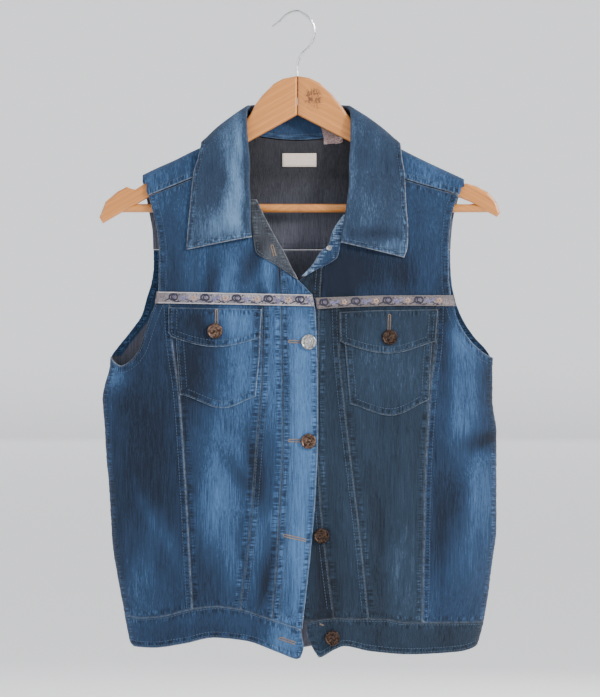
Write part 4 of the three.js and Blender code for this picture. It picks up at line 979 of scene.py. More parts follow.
def cross_line(edge, start, end, shift=0.0):
    """Points along an edge given by across, shifted down by millimetres."""
    return [(a, float(edge(a)) + shift / UNIT) for a in np.arange(start, end + 0.1, 2.0)]


def beside(line, offset):
    """The line moved sideways by millimetres, to the right of its direction in the picture."""
    points = np.array(line, float)
    along = unit(np.gradient(points, axis=0))
    return points + np.stack([-along[:, 1], along[:, 0]], -1) * offset / UNIT


for inset in (EDGE_ROW, INNER_ROW):
    on("side_front_left").row(down_line(left_side_seam, 300, 612, -inset))
    on("centre_front_left").row(down_line(left_pocket_seam, 300, 616, inset))
    on("side_front_right").row(down_line(right_side_seam, 302, 618, inset))
    on("centre_front_right").row(down_line(right_pocket_seam, 304, 615, -inset))
    on("placket_over").row(down_line(left_placket_seam, 272, 618, inset))
    on("back_panel").row(down_line(back_left_edge, 252, 354, inset + 0.6), BACK)
    on("back_panel").row(down_line(back_right_edge, 252, 358, -inset - 0.6), BACK)
    on("back_yoke").row(down_line(left_armhole_back, 178, 248, inset + 0.6), BACK)
    on("back_yoke").row(down_line(right_armhole_back, 178, 248, -inset - 0.6), BACK)
    on("back_yoke").row(cross_line(constant(YOKE_BACK_SEAM), 154, 448, -inset), BACK)
    on("waistband_back").row(cross_line(back_waist_top, 124, 484, inset), BACK)
    for armhole in (cross_line(left_armhole_front, 112, 158),
                    down_line(left_yoke_armhole, 192, 297)[::-1]):
        for name in ("side_front_left", "front_yoke_left"):
            on(name).row(beside(armhole, inset * 1.25))
    right_line = down_line(right_yoke_armhole, 194, 300)
    right_line += cross_line(right_armhole_front, 452, 492)
    for name in ("side_front_right", "front_yoke_right"):
        on(name).row(beside(right_line, inset * 1.25))
    on("back_yoke").row(cross_line(left_forward_seam, 150, 240, -inset - 0.6))
    on("back_yoke").row(cross_line(right_forward_seam, 358, 458, -inset - 0.6))
    on("back_yoke").row(cross_line(back_neckline, 256, 342, inset), BACK)
on("placket_over").row(down_line(left_front_edge, 284, 622, -2.2))
on("placket_over").row(down_line(left_front_edge, 290, 620, -26))
on("placket_under").row(down_line(right_placket_seam, 268, 612, -EDGE_ROW))
on("placket_under").row(down_line(right_placket_seam, 268, 612, -INNER_ROW))
on("waistband_left").row(cross_line(left_waist_top, 127, 300, 2.4))
on("waistband_left").row(cross_line(left_waist_bottom, 131, 301, -2.6))
on("waistband_left").row(cross_line(left_waist_bottom, 131, 300, -6.8))
on("waistband_right").row(cross_line(right_waist_top, 309, 482, 2.4))
on("waistband_right").row(cross_line(right_waist_bottom, 314, 478, -2.6))
on("waistband_right").row(cross_line(right_waist_bottom, 316, 478, -6.8))
on("waistband_back").row(cross_line(back_waist_bottom, 132, 476, -2.6), BACK)
# Rows seen inside, through the neck and the left armhole.
on("back_yoke").row(cross_line(constant(YOKE_BACK_SEAM), 262, 340, -2.4))
on("back_yoke").row(cross_line(constant(YOKE_BACK_SEAM), 262, 340, -7.0))
on("back_panel").row(down_line(back_left_edge, 252, 352, 7.0))
on("back_yoke").row(down_line(left_armhole_back, 200, 248, 7.0))
on("stand_back").row([(a, float(back_neckline(a)) - 6) for a in range(262, 336, 3)])
on("stand_left").row(beside([(256.5, 243), (256.5, 252.4), (266.1, 258.1), (277.6, 265.8),
                             (290, 273.4), (298, 279.5)], -1.8))


def patch_rows(name, top, offsets):
    """Rows beside the two sides and the pointed bottom of a pocket or flap."""
    left, right, _, bottom = PATCH_OUTLINES[name]
    for off in offsets:
        start, end = float(left(top)), float(right(top))
        for side, shift in ((left, off), (right, -off)):
            corner = float(bottom(side(bottom(start if side is left else end)) + shift / UNIT))
            on(name).row(down_line(side, top, corner - off / UNIT, shift))
        low = float(left(bottom(start))) + off / UNIT
        high = float(right(bottom(end))) - off / UNIT
        on(name).row(cross_line(bottom, low, high, -off * 1.03))


POCKET_ROWS, FLAP_ROWS = (1.6, 7.4), (1.8, 7.2)
for name, top, offsets in (("pocket_left", 340, POCKET_ROWS), ("flap_left", 309, FLAP_ROWS),
                           ("pocket_right", 346, POCKET_ROWS), ("flap_right", 314, FLAP_ROWS)):
    patch_rows(name, top, offsets)


def collar_threads():
    """A row inside the collar's fore edge and both its ends."""
    net, normals, to_edge = NET, NET_NORMALS, TO_EDGE
    inset = COLLAR_ROW
    along = run_along(net[:, -1])
    first = int(np.searchsorted(along, inset))
    last = int(np.searchsorted(along, along[-1] - inset))
    edge = []
    for i in range(first, last + 1):
        distance = to_edge[i, ::-1]
        place = [np.interp(inset, distance, net[i, ::-1, k]) for k in range(3)]
        normal = [np.interp(inset, distance, normals[i, ::-1, k]) for k in range(3)]
        edge.append((np.array(place), unit(np.array(normal))))
    on("collar").along_points(edge)
    for i in (first, last):
        keep = to_edge[i] > inset
        keep[:ROLL_TURNS + 4] = False
        on("collar").along_points(list(zip(net[i][keep], normals[i][keep])))


collar_threads()


# Buttonholes and bars of close threads. Columns: piece, from across, down, to across, down.
BUTTONHOLES = (
    ("placket_over", 289.6, 341.5, 303, 342), ("placket_over", 289.4, 439.8, 303, 440.2),
    ("placket_over", 284.6, 534, 306, 539), ("waistband_left", 280.7, 636.4, 295.5, 641.4),
    ("flap_left", 217, 310.6, 217, 326), ("flap_right", 389, 315.6, 388.4, 332),
    ("stand_left", 272.2, 246.6, 275, 256.4))
HOLE_HALF, HOLE_PITCH = 1.9, 0.62
HOLE_THREAD, BAR_THREAD, HOLE_LIFT = 0.30, 0.28, 0.30
BAR_HALF, BAR_PITCH = 0.9, 0.5
holes = {}


def hole_threads(name):
    if name not in holes:
        holes[name] = Threads(name)
    return holes[name]


def buttonhole(name, x0, y0, x1, y1):
    sewn = hole_threads(name)
    start, end = np.array([x0, y0]), np.array([x1, y1])
    length = np.linalg.norm(end - start) * UNIT
    along = unit(end - start)
    beside_way = np.array([-along[1], along[0]])
    half = HOLE_HALF / UNIT
    spans = []
    for s in np.arange(0, length, HOLE_PITCH) / UNIT:
        middle = start + along * s
        for way in (-1, 1):
            spans.append((middle + beside_way * way * 0.25 * half, middle + beside_way * way * half))
    for turn in np.linspace(-80, 80, 7):
        angle = math.radians(turn)
        ray = -along * math.cos(angle) + beside_way * math.sin(angle)
        spans.append((start + ray * 0.3 * half, start + ray * half))
    for a, b in spans:
        first, second = sewn.hit(*a, FRONT), sewn.hit(*b, FRONT)
        if first and second:
            sewn.thread(first[0], second[0], first[1], HOLE_THREAD, HOLE_LIFT)


for spec in BUTTONHOLES:
    buttonhole(*spec)
# Bars: piece, from across, down, to across, down.
BARS = (
    ("placket_over", 308, 616.5, 308.4, 623), ("waistband_right", 319.6, 622, 323.4, 623.6))


def bar(name, x0, y0, x1, y1):
    sewn = hole_threads(name)
    start, end = np.array([x0, y0]), np.array([x1, y1])
    along = unit(end - start)
    across = np.array([-along[1], along[0]]) * BAR_HALF
    for s in np.arange(0, np.linalg.norm(end - start), BAR_PITCH):
        a, b = (sewn.hit(*(start + along * s + across * w), FRONT) for w in (-1, 1))
        if a and b:
            sewn.thread(a[0], b[0], a[1], BAR_THREAD, HOLE_LIFT)


for spec in BARS:
    bar(*spec)


def thread_object(name, sewn):
    piece = new_object(name, np.array(sewn.points), sewn.faces)
    face_out(piece)
    return piece


stitch_pieces = {n: thread_object(n + "_stitches", t) for n, t in threads.items() if t.faces}
hole_pieces = {n: thread_object(n + "_hole", t) for n, t in holes.items() if t.faces}


# The trim ribbon's woven pattern: ring flowers, leaf scrolls and small pale flowers in turn.
def tube(sewn, points, half, lift=0.3):
    """A raised thread through points given by across and down."""
    places = [sewn.hit(a, d, FRONT) for a, d in points]
    for a, b in zip(places, places[1:]):
        if a and b and np.linalg.norm(b[0] - a[0]) > 0.05:
            over = unit(b[0] - a[0]) * 0.1
            sewn.thread(a[0] - over, b[0] + over, a[1], half, lift)


def ring(x, y, rx, ry, start=0, end=360, sides=10):
    angles = np.radians(np.linspace(start, end, sides + 1))
    return [(x + rx * math.cos(a), y + ry * math.sin(a)) for a in angles]


ribbon_dark, ribbon_violet, ribbon_warm = {}, {}, {}
MOTIF_STEP = 31.5
TWO_WAVES = 12.566  # two full turns, in radians


def ribbon_pattern(name, start, end, middle):
    dark, violet, warm = (Threads(name) for _ in range(3))
    rng = random.Random(len(name))
    x = start
    while x < end:
        def at(dx, dy, x=x):
            return x + dx, float(middle(x + dx)) + dy
        for dx in (0, 2.6):
            cx, cy = at(dx - 1.3, -0.8)
            tube(dark, ring(cx, cy, 2.9, 3.0, 200 if dx else 40, 560 if dx else 330), 0.85)
        cx, cy = at(0, -0.9)
        tube(violet, ring(cx, cy, 1.0, 1.1), 0.45)
        for angle in (-150, -90, -30):
            a = math.radians(angle)
            tube(dark, [(cx + 2.9 * math.cos(a), cy + 2.6 * math.sin(a)),
                        (cx + 4.2 * math.cos(a), cy + 3.6 * math.sin(a))], 0.5)
        # A leaf scroll that runs along the ribbon below the flowers.
        wave = [at(dx, 2.6 + 1.5 * math.sin(dx / MOTIF_STEP * TWO_WAVES))
                for dx in np.linspace(-9, 20, 26)]
        tube(dark, wave, 0.45)
        for dx, dy, size in ((7.6, -0.5, 2.2), (11.6, 0.4, 2.6), (9.4, 1.6, 1.6), (14.0, -1.2, 1.5)):
            lx, ly = at(dx, dy)
            lean = rng.uniform(0.4, 0.9)
            for way in (-1, 0, 1):
                tube(violet, [(lx - size * 0.9, ly + size * lean * 0.5 + way * 0.45),
                              (lx, ly + way * 0.75 - 0.2),
                              (lx + size * 0.9, ly - size * lean * 0.5 + way * 0.3)], 0.62)
        for dx, dy in ((-5.2, 1.6), (4.6, 3.2), (17.8, 3.0), (6.0, -3.2), (22.8, 3.2), (14.6, 3.6)):
            lx, ly = at(dx, dy)
            tube(dark, [(lx - 0.9, ly + 0.5), (lx + 0.9, ly - 0.4)], 0.5)
        cx, cy = at(20.2, -0.2)
        for angle in range(0, 360, 72):
            a = math.radians(angle)
            px, py = cx + 1.7 * math.cos(a), cy + 1.7 * math.sin(a)
            tube(warm, ring(px, py, 0.75, 0.75, sides=5), 0.42)
        tube(violet, [(cx - 0.4, cy), (cx + 0.4, cy)], 0.45)
        x += MOTIF_STEP
    for store, sewn, label in ((ribbon_dark, dark, "_dark"), (ribbon_violet, violet, "_violet"),
                               (ribbon_warm, warm, "_warm")):
        store[name] = thread_object(name + label, sewn)


ribbon_pattern("ribbon_left", 174, 309, curve((157, 297.6), (235, 299.1), (312, 300.7)))
ribbon_pattern("ribbon_right", 324, 448, curve((312, 303.8), (341, 302.5), (408, 300.9), (453, 300.8)))
ribbon_edges = {}
for name, start, end in (("ribbon_left", 159, 312), ("ribbon_right", 316, 451)):
    sewn = Threads(name)
    for edge, shift in zip(RIBBON_EDGES[name], (0.9, -0.9)):
        tube(sewn, cross_line(edge, start, end, shift), 0.55, 0.2)
    ribbon_edges[name] = thread_object(name + "_edges", sewn)


# Materials.
class Nodes:
    """Builds a material's nodes: each call adds one node and gives its output."""

    def __init__(self, name):
        self.material = bpy.data.materials.new(name)
        self.material.use_nodes = True
        self.tree = self.material.node_tree
        self.shader = self.tree.nodes["Principled BSDF"]

    def link(self, value, socket):
        if hasattr(value, "node"):
            self.tree.links.new(value, socket)
        else:
            socket.default_value = value

    def add(self, kind, inputs=(), output=0, **settings):
        node = self.tree.nodes.new("ShaderNode" + kind)
        for key, value in settings.items():
            setattr(node, key, value)
        for key, value in dict(inputs).items():
            self.link(value, node.inputs[key])
        return node.outputs[output]

    def place(self):
        return self.add("TexCoord", output="Object")

    def layer(self, name):
        return self.add("Attribute", output="Fac", attribute_name=name)

    def stretch(self, scale):
        return self.add("Mapping", {"Vector": self.place(), "Scale": scale})

    def axis(self, name):
        return self.add("SeparateXYZ", {"Vector": self.place()}, output=name)

    def noise(self, vector, detail=1.0, rough=0.5):
        return self.add("TexNoise", {"Vector": vector, "Scale": 1.0, "Detail": detail,
                                     "Roughness": rough}, output="Fac")

    def grain(self, x, y, z, detail=1.0, rough=0.5):
        """Noise with about so many cells to a metre along each axis."""
        return self.noise(self.stretch((x, y, z)), detail, rough)

    def math(self, operation, a, b=0.0, c=0.0, clamp=False):
        return self.add("Math", {0: a, 1: b, 2: c}, operation=operation, use_clamp=clamp)

    def weighted(self, *parts):
        """The sum of values, each times its share."""
        products = [self.math("MULTIPLY", value, share) for value, share in parts]
        total = products[0]
        for product in products[1:]:
            total = self.math("ADD", total, product)
        return total

    def scale(self, value, low, high, to_low=0.0, to_high=1.0):
        return self.add("MapRange", {"Value": value, "From Min": low, "From Max": high,
                                     "To Min": to_low, "To Max": to_high})

    def mix(self, factor, a, b, blend="MIX"):
        node = self.tree.nodes.new("ShaderNodeMix")
        node.data_type, node.blend_type = "RGBA", blend
        self.link(factor, node.inputs[0])
        self.link(a, node.inputs[6])
        self.link(b, node.inputs[7])
        return node.outputs[2]

    def finish(self, color, roughness, height=None, distance=0.0004, strength=1.0, **constants):
        self.link(color, self.shader.inputs["Base Color"])
        self.link(roughness, self.shader.inputs["Roughness"])
        if height is not None:
            bump = self.add("Bump", {"Height": height, "Distance": distance, "Strength": strength})
            self.link(bump, self.shader.inputs["Normal"])
        for key, value in constants.items():
            self.shader.inputs[key.replace("_", " ")].default_value = value
        return self.material


def rgb(r, g, b):
    return (r, g, b, 1.0)


DARK_BLUE = rgb(0.0040, 0.0085, 0.0200)
MID_BLUE = rgb(0.0145, 0.0380, 0.0880)
LIGHT_BLUE = rgb(0.070, 0.160, 0.330)
WORN_BLUE = rgb(0.26, 0.33, 0.43)
GREY_DARK = rgb(0.010, 0.011, 0.014)
GREY_LIGHT = rgb(0.040, 0.041, 0.050)

# How strongly the thread pattern, the clouds and the fades with their painted light and shade
# show, and how dark and light the puckers between stitch rows turn.
THREAD_STRENGTH, CLOUD_STRENGTH, FADE_AND_SHADE_STRENGTH = 1.5, 0.4, 0.62
ROPING_RANGE = (-0.34, 0.24)


def denim(name, bias=0.0, dark=DARK_BLUE, mid=MID_BLUE, light=LIGHT_BLUE, worn=WORN_BLUE,
          inside_dark=GREY_DARK, inside_light=GREY_LIGHT):
    """Washed slub denim: upright uneven threads, a fine twill, fades with painted light and shade,
    worn edges, grey inside with painted light lower down.
    """
    n = Nodes(name)
    slub = n.grain(520, 520, 18)
    narrow = n.grain(1350, 1350, 40)
    fine = n.grain(2600, 2600, 260)
    weft = n.grain(500, 500, 1500)
    streak = n.grain(150, 150, 6, 3.0, 0.6)
    cloud = n.grain(24, 24, 12, 3.0)
    mottle = n.grain(290, 290, 270)
    rungs = n.grain(75, 75, 560)
    rungs_level = n.grain(560, 560, 75)
    thread = n.weighted((slub, 0.16), (narrow, 0.38), (fine, 0.22), (weft, 0.08), (streak, 0.16))
    middle = 0.5 - THREAD_STRENGTH / 2 + bias
    tone = n.math("ADD", n.math("MULTIPLY_ADD", thread, THREAD_STRENGTH, middle),
                  n.math("MULTIPLY_ADD", cloud, CLOUD_STRENGTH, -CLOUD_STRENGTH / 2))
    # Painted light and shade: the fade layer lightens and darkens the tone.
    tone = n.math("ADD", tone, n.math("MULTIPLY", n.layer("fade_and_shade"), FADE_AND_SHADE_STRENGTH))
    roping, roping_level = (
        n.math("MULTIPLY", n.layer(layer), n.scale(pattern, 0.36, 0.62, *ROPING_RANGE))
        for layer, pattern in (("roping", rungs), ("roping_level", rungs_level)))
    tone = n.math("ADD", tone, n.math("ADD", roping, roping_level), clamp=True)
    low = n.mix(n.scale(tone, 0.0, 0.5), dark, mid)
    outer = n.mix(n.scale(tone, 0.5, 1.0), low, light)
    worn_edge = n.math("POWER", n.layer("wear"), 4.0)
    spots = n.scale(mottle, 0.34, 0.60, 0.25, 1.0)
    worn_share = n.math("MULTIPLY", worn_edge, spots, clamp=True)
    outer = n.mix(n.math("MULTIPLY", worn_share, 0.8), outer, worn)
    inner = n.mix(n.scale(thread, 0.32, 0.70), inside_dark, inside_light)
    # Painted light: the grey inside is drawn up to 3.8 times brighter from down 175 to 240 and below,
    # and stays dark up under the collar and yoke.
    inside_painted_light = n.scale(n.axis("Z"), to_z(175) * MM, to_z(240) * MM, 0.0, 1.0)
    inner = n.mix(inside_painted_light, inner, n.mix(1.0, inner, rgb(3.8, 3.8, 4.0), "MULTIPLY"))
    color = n.mix(n.layer("inside"), outer, inner)
    height = n.weighted((narrow, 0.6), (weft, 0.3), (slub, 0.4))
    roughness = n.scale(thread, 0.3, 0.7, 0.96, 0.80)
    return n.finish(color, roughness, height, 0.0006, 0.9, Sheen_Weight=0.08,
                    Sheen_Roughness=0.6, Specular_IOR_Level=0.18)


def plain_thread(name, low, high, under=0.0):
    """Twisted thread; under paints shade on it, darkening it towards brown over the front that lies
    under, right of the placket's edge.
    """
    n = Nodes(name)
    twist = n.grain(2400, 2400, 2400)
    patchy = n.grain(120, 120, 120, 2.0)
    mixed = n.weighted((twist, 0.5), (patchy, 0.5))
    color = n.mix(n.scale(mixed, 0.3, 0.7), low, high)
    # Painted shade right of the placket's edge, as strong as under.
    lower = n.scale(n.axis("X"), to_x(314.5) * MM, to_x(315.5) * MM, 0.0, under)
    color = n.mix(lower, color, rgb(0.07, 0.05, 0.045))
    return n.finish(color, n.scale(twist, 0.2, 0.8, 0.75, 0.9), twist, 0.0002)


def wood():
    """Varnished pale wood: grain along each arm, a round knot and a dark streak from it."""
    n = Nodes("wood_finish")
    x, y, z = (n.axis(k) for k in "XYZ")
    side = n.math("ABSOLUTE", x)
    lean = n.math("ADD", z, n.math("MULTIPLY", side, 0.56))
    knot_x, knot_z = to_x(313) * MM, to_z(99) * MM
    off = n.math("ADD", n.math("POWER", n.math("SUBTRACT", x, knot_x), 2.0),
                 n.math("POWER", n.math("MULTIPLY", n.math("SUBTRACT", z, knot_z), 0.8), 2.0))
    near = n.math("POWER", 2.718, n.math("MULTIPLY", off, -16000.0))
    bend = n.math("ADD", lean, n.math("MULTIPLY", near, 0.012))
    grain_place = n.add("CombineXYZ", {"X": n.math("MULTIPLY", side, 9.0),
                                       "Y": n.math("MULTIPLY", y, 120.0),
                                       "Z": n.math("MULTIPLY", bend, 330.0)})
    grain = n.noise(grain_place, 4.0, 0.6)
    pores = n.noise(n.add("CombineXYZ", {"X": n.math("MULTIPLY", side, 60.0),
                                         "Y": n.math("MULTIPLY", y, 1500.0),
                                         "Z": n.math("MULTIPLY", bend, 2400.0)}))
    tone = n.weighted((grain, 0.75), (pores, 0.25))
    color = n.mix(n.scale(tone, 0.32, 0.68), rgb(0.43, 0.148, 0.028), rgb(0.65, 0.262, 0.056))
    # The knot: a soft brown ground with a jagged dark crack wandering through it.
    jagged = n.grain(150, 150, 110, 4.0, 0.65)
    crack = n.scale(n.math("ABSOLUTE", n.math("SUBTRACT", jagged, 0.5)), 0.020, 0.060, 1.0, 0.0)
    color = n.mix(n.math("MULTIPLY", near, 0.50, clamp=True), color, rgb(0.26, 0.085, 0.025))
    dark = n.math("MULTIPLY", crack, n.scale(near, 0.12, 0.40), clamp=True)
    color = n.mix(n.math("MULTIPLY", dark, 0.85), color, rgb(0.07, 0.022, 0.008))
    # The right arm is darker beside the joint.
    joint = n.math("MULTIPLY", n.scale(x, 0.0, 0.010, 0.30, 0.0), n.scale(x, -0.0006, 0.0, 0.0, 1.0))
    color = n.mix(joint, color, rgb(0.25, 0.09, 0.03))
    return n.finish(color, n.scale(grain, 0.3, 0.7, 0.30, 0.42), tone, 0.00012, 0.5,
                    Coat_Weight=0.22, Coat_Roughness=0.3)


def metal(name, low, high, rough_low, rough_high, patina=60.0):
    n = Nodes(name)
    patch = n.grain(patina * 8, patina * 8, patina * 8, 3.0)
    fine = n.grain(3000, 3000, 3000)
    color = n.mix(n.scale(patch, 0.35, 0.65), low, high)
    rough = n.scale(n.weighted((patch, 1.0), (fine, 0.3)), 0.4, 0.9, rough_low, rough_high)
    return n.finish(color, rough, fine, 0.00005, 0.4, Metallic=1.0)


def ribbon_ground():
    n = Nodes("ribbon_ground")
    ribs = n.grain(2600, 2600, 300)
    cloud = n.grain(90, 90, 160, 2.0)
    mixed = n.weighted((ribs, 0.5), (cloud, 0.5))
    color = n.mix(n.scale(mixed, 0.32, 0.68), rgb(0.12, 0.105, 0.115), rgb(0.40, 0.36, 0.37))
    specks = n.grain(520, 520, 520)
    color = n.mix(n.scale(specks, 0.48, 0.58, 0.0, 0.78), color, rgb(0.075, 0.070, 0.125))
    # The ground turns darker and browner towards the left ribbon's far left end, and, as painted
    # shade, on the right ribbon right of the placket's edge.
    x = n.axis("X")
    far_left = n.scale(x, to_x(160) * MM, to_x(200) * MM, 0.5, 0.0)
    placket_painted_shade = n.math("MULTIPLY", n.scale(x, to_x(314.5) * MM, to_x(315.5) * MM),
                        n.scale(x, to_x(330) * MM, to_x(420) * MM, 0.66, 0.50))
    color = n.mix(n.math("MAXIMUM", far_left, placket_painted_shade), color, rgb(0.085, 0.062, 0.052))
    return n.finish(color, n.scale(ribs, 0.3, 0.7, 0.62, 0.8), ribs, 0.00025, 0.8, Sheen_Weight=0.1)


def label_cloth(name, low, high, speck=0.0):
    n = Nodes(name)
    weave = n.grain(2600, 2600, 2600)
    spots = n.grain(700, 700, 700)
    color = n.mix(n.scale(weave, 0.3, 0.7), low, high)
    color = n.mix(n.scale(spots, 0.5, 0.62, 0.0, speck), color, rgb(0.22, 0.12, 0.12))
    return n.finish(color, n.scale(weave, 0.3, 0.7, 0.75, 0.9), weave, 0.0002, 0.8)


denim_front = denim("denim_front")
# Painted shade: darker copies of the front denim for the right front's middle and, darkest, for the
# placket that lies under the left front.
denim_lower_painted_shade = denim("denim_lower_painted_shade", bias=-0.17, dark=rgb(0.0045, 0.0085, 0.016),
                    mid=rgb(0.0165, 0.0330, 0.060), light=rgb(0.090, 0.155, 0.255),
                    worn=rgb(0.19, 0.23, 0.28))
denim_under_painted_shade = denim("denim_under_painted_shade", bias=-0.30, dark=rgb(0.0035, 0.0065, 0.013),
                    mid=rgb(0.0130, 0.0270, 0.050), light=rgb(0.080, 0.130, 0.210),
                    worn=rgb(0.15, 0.18, 0.22))
denim_collar = denim("denim_collar", mid=rgb(0.0200, 0.0390, 0.0770),
                     light=rgb(0.105, 0.195, 0.335), worn=rgb(0.42, 0.44, 0.48))
denim_back = denim("denim_rear", bias=-0.02)
# Painted shade: a darker copy of the front denim for the right side panel and yoke.
denim_right_painted_shade = denim("denim_right_painted_shade", bias=-0.12, light=rgb(0.070, 0.148, 0.300))
# Painted light and shade on the turned-out stand ends, which both show the denim's blue face: a lit,
# paler copy for the right end and, next, a grey shaded copy for the left end.
denim_painted_light = denim("denim_turned_painted_light", bias=0.2, light=rgb(0.21, 0.30, 0.42))
denim_painted_shade_grey = denim("denim_inner_painted_shade", worn=rgb(0.42, 0.44, 0.48), dark=rgb(0.012, 0.014, 0.019),
                   mid=rgb(0.036, 0.041, 0.052), light=rgb(0.095, 0.110, 0.130))
denim_stand = denim("denim_stand", bias=-0.08, light=rgb(0.060, 0.110, 0.190))
thread_pale = plain_thread("thread_pale", rgb(0.020, 0.036, 0.068), rgb(0.075, 0.115, 0.180))
thread_dark = plain_thread("thread_dark", rgb(0.012, 0.014, 0.035), rgb(0.05, 0.045, 0.075))
thread_violet = plain_thread("thread_violet", rgb(0.10, 0.10, 0.20), rgb(0.27, 0.25, 0.40))
thread_warm = plain_thread("thread_warm", rgb(0.42, 0.24, 0.17), rgb(0.68, 0.50, 0.42))
# The last number is the painted shade these threads get right of the placket's edge.
thread_white = plain_thread("thread_white", rgb(0.34, 0.33, 0.35), rgb(0.62, 0.60, 0.61), 0.75)
thread_tan = plain_thread("thread_tan", rgb(0.14, 0.100, 0.072), rgb(0.34, 0.255, 0.190), 0.30)
wood_finish = wood()
hook_finish = metal("hook_finish", rgb(0.42, 0.43, 0.44), rgb(0.66, 0.67, 0.68), 0.16, 0.34)
silver_finish = metal("silver_finish", rgb(0.17, 0.165, 0.16), rgb(0.50, 0.50, 0.50), 0.25, 0.5)
bronze_finish = metal("bronze_finish", rgb(0.034, 0.019, 0.014), rgb(0.185, 0.118, 0.088), 0.25, 0.5)
# Painted shade: a darker copy of the bronze for the buttons on the shaded right front and right of the
# placket's edge.
bronze_painted_shade_finish = metal("bronze_painted_shade_finish", rgb(0.012, 0.008, 0.007),
                           rgb(0.085, 0.055, 0.042), 0.3, 0.55)
ribbon_finish = ribbon_ground()
label_finish = label_cloth("label_finish", rgb(0.50, 0.41, 0.34), rgb(0.74, 0.66, 0.57))
patch_finish = label_cloth("patch_finish", rgb(0.30, 0.22, 0.22), rgb(0.48, 0.40, 0.39), 0.7)

PIECES_BY_FINISH = (
    (denim_front, "side_front_left pocket_panel_left centre_front_left placket_over "
                  "front_yoke_left waistband_left pocket_left flap_left"),
    (denim_right_painted_shade, "side_front_right front_yoke_right"),
    (denim_lower_painted_shade, "pocket_panel_right centre_front_right waistband_right pocket_right flap_right"),
    (denim_under_painted_shade, "placket_under"),
    (denim_back, "back_panel back_yoke waistband_back"),
    (denim_collar, "collar"), (denim_stand, "stand_back"), (denim_painted_shade_grey, "stand_left"),
    (denim_painted_light, "stand_right"), (ribbon_finish, "ribbon_left ribbon_right"),
    (label_finish, "neck_label"), (patch_finish, "neck_patch"))
FINISHES = {name: finish for finish, names in PIECES_BY_FINISH for name in names.split()}
SLOTS = {n: "denim" for n in FINISHES}
SLOTS.update({n: "denim_back" for n in ("back_yoke", "back_panel", "waistband_back",
                                        "stand_back", "stand_left")})
SLOTS.update(ribbon_left="ribbon", ribbon_right="ribbon", neck_label="label", neck_patch="label")


trims = {}


def declare_trim(cloth_name, piece, finish):
    piece.data.materials.append(finish)
    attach(piece, "root")
    trims.setdefault(cloth_name, []).append(piece)


for pieces, finish in ((stitch_pieces, thread_pale), (hole_pieces, thread_tan)):
    for name, piece in pieces.items():
        declare_trim(name, piece, finish)
for pieces, finish in ((ribbon_dark, thread_dark), (ribbon_violet, thread_violet),
                       (ribbon_warm, thread_warm), (ribbon_edges, thread_white)):
    for name, piece in pieces.items():
        declare_trim(name, piece, finish)


# The narrowest sheet in metres, and the least share of its rectangle that a sheet fills.
LEAST_SHEET = 0.0105
LEAST_AREA_SHARE = 0.31


def declare_cloth(name, piece):
    """Gives the piece its finish, hangs it on the root and hides the part's solid; the sheet's flat
    size, its widest and longest run over the outer face, and its area are worked out but passed
    nowhere.
    """
    piece.data.materials.append(FINISHES[name])
    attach(piece, "root")
    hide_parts(name)
    width, length = (max(LEAST_SHEET, size) for size in cuts[name + "_cloth"])
    area = sum(face.area for face in piece.data.polygons) / 2
    area = min(max(area, LEAST_AREA_SHARE * width * length), width * length)


for name, piece in cloth.items():
    declare_cloth(name, piece)
BUTTON_FINISHES = {"button_front_1": silver_finish, "button_collar": silver_finish,
                   "button_front_3": bronze_painted_shade_finish, "button_front_4": bronze_painted_shade_finish,
                   "button_flap_right": bronze_painted_shade_finish}
for name, *_, finish in BUTTONS:
    piece = buttons[name]
    piece.data.materials.append(BUTTON_FINISHES.get(name, bronze_finish))
    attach(piece, "root")
    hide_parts(name)
for node, finish in (("hanger_arm_left", wood_finish), ("hanger_arm_right", wood_finish),
                     ("hanger_bar", wood_finish), ("hanger_hook", hook_finish)):
    for slot in bpy.data.objects[node].material_slots:
        slot.material = finish


# The camera, level with the vest's middle, at a long distance as in the photograph.
FRAME_ACROSS, FRAME_DOWN = 300.0, 348.5
FRAME_WIDTH = 600.0
CAMERA_DISTANCE = 6.0
SENSOR = 36.0


def add_camera():
    data = bpy.data.cameras.new("camera")
    camera = bpy.data.objects.new("camera", data)
    bpy.context.scene.collection.objects.link(camera)
    data.sensor_fit, data.sensor_width = "HORIZONTAL", SENSOR
    data.lens = SENSOR * CAMERA_DISTANCE / (FRAME_WIDTH * UNIT * MM)
    data.clip_end = 100
    camera.location = (to_x(FRAME_ACROSS) * MM, -CAMERA_DISTANCE, to_z(FRAME_DOWN) * MM)
    camera.rotation_euler = (math.pi / 2, 0, 0)
    bpy.context.scene.camera = camera


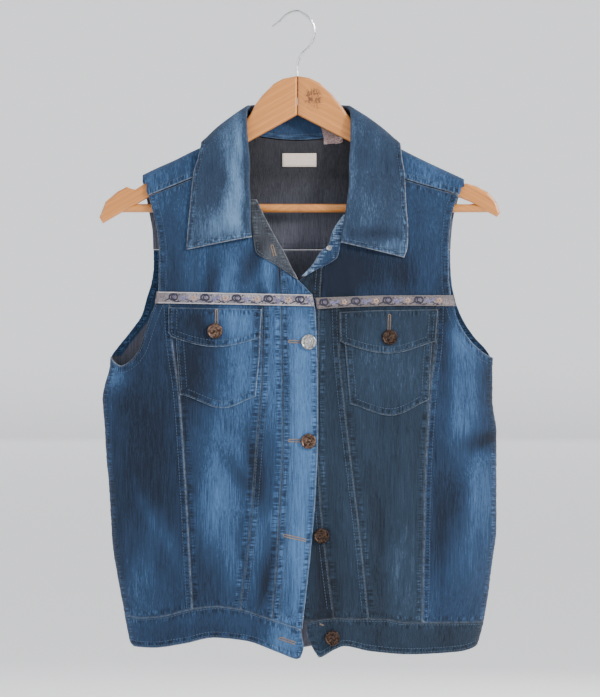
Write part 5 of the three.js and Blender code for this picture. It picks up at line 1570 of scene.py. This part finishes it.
# Columns: name, place, aimed at, size, power, colour.
LIGHTS = (
    ("key", (2.1, -1.7, 0.8), (0, 0, -0.40), 0.6, 84, (1.0, 0.98, 0.95)),
    ("fill", (-1.8, -2.0, 0.3), (0, 0, -0.40), 1.4, 10, (0.93, 0.96, 1.0)),
    ("top", (0.0, -0.3, 1.7), (0, 0, -0.40), 1.2, 12, (1, 1, 1)),
    ("rear", (0.6, 2.2, 0.6), (0, 0, -0.40), 1.6, 26, (1, 1, 1)))
FLOOR_DOWN = 0.9
WORLD_LIGHT = 0.5
BACKDROP_GLOW = 0.40


def add_lights():
    for name, place, aim, size, power, color in LIGHTS:
        data = bpy.data.lights.new(name, "AREA")
        data.shape, data.size, data.energy, data.color = "DISK", size, power, color
        light = bpy.data.objects.new(name, data)
        bpy.context.scene.collection.objects.link(light)
        light.location = place
        light.rotation_euler = (Vector(aim) - Vector(place)).to_track_quat("-Z", "Y").to_euler()
    world = bpy.data.worlds.new("world")
    bpy.context.scene.world = world
    world.use_nodes = True
    background = world.node_tree.nodes["Background"]
    background.inputs["Color"].default_value = (0.94, 0.96, 1.0, 1)
    background.inputs["Strength"].default_value = WORLD_LIGHT


FLOOR_RADIUS, BACKDROP_HEIGHT = 26.0, 24.0


def add_floor():
    """A pale floor below the hem with a far backdrop round it, beyond every camera."""
    rings, sides = 24, 64
    points, faces = [(0, 0, -FLOOR_DOWN)], []
    for i in range(1, rings + 1):
        t = i / rings
        reach = FLOOR_RADIUS * min(1, t * 2)
        height = 0 if t <= 0.5 else BACKDROP_HEIGHT * ((t - 0.5) * 2) ** 1.6
        for k in range(sides):
            a = 2 * math.pi * k / sides
            points.append((reach * math.cos(a), reach * math.sin(a), height - FLOOR_DOWN))
    for k in range(sides):
        faces.append((0, 1 + k, 1 + (k + 1) % sides))
    for i in range(rings - 1):
        for k in range(sides):
            a, b = 1 + i * sides + k, 1 + i * sides + (k + 1) % sides
            faces.append((a, a + sides, b + sides, b))
    mesh = bpy.data.meshes.new("floor")
    mesh.from_pydata(points, [], faces)
    mesh.polygons.foreach_set("use_smooth", [True] * len(mesh.polygons))
    floor = bpy.data.objects.new("floor", mesh)
    bpy.context.scene.collection.objects.link(floor)
    n = Nodes("floor_finish")
    speck = n.grain(40, 40, 40, 2.0)
    mesh.materials.append(n.finish(n.mix(speck, rgb(0.84, 0.84, 0.84), rgb(0.88, 0.88, 0.88)), 0.9,
                                   Emission_Color=rgb(0.95, 0.96, 1.0),
                                   Emission_Strength=BACKDROP_GLOW))


add_camera()
add_lights()
add_floor()
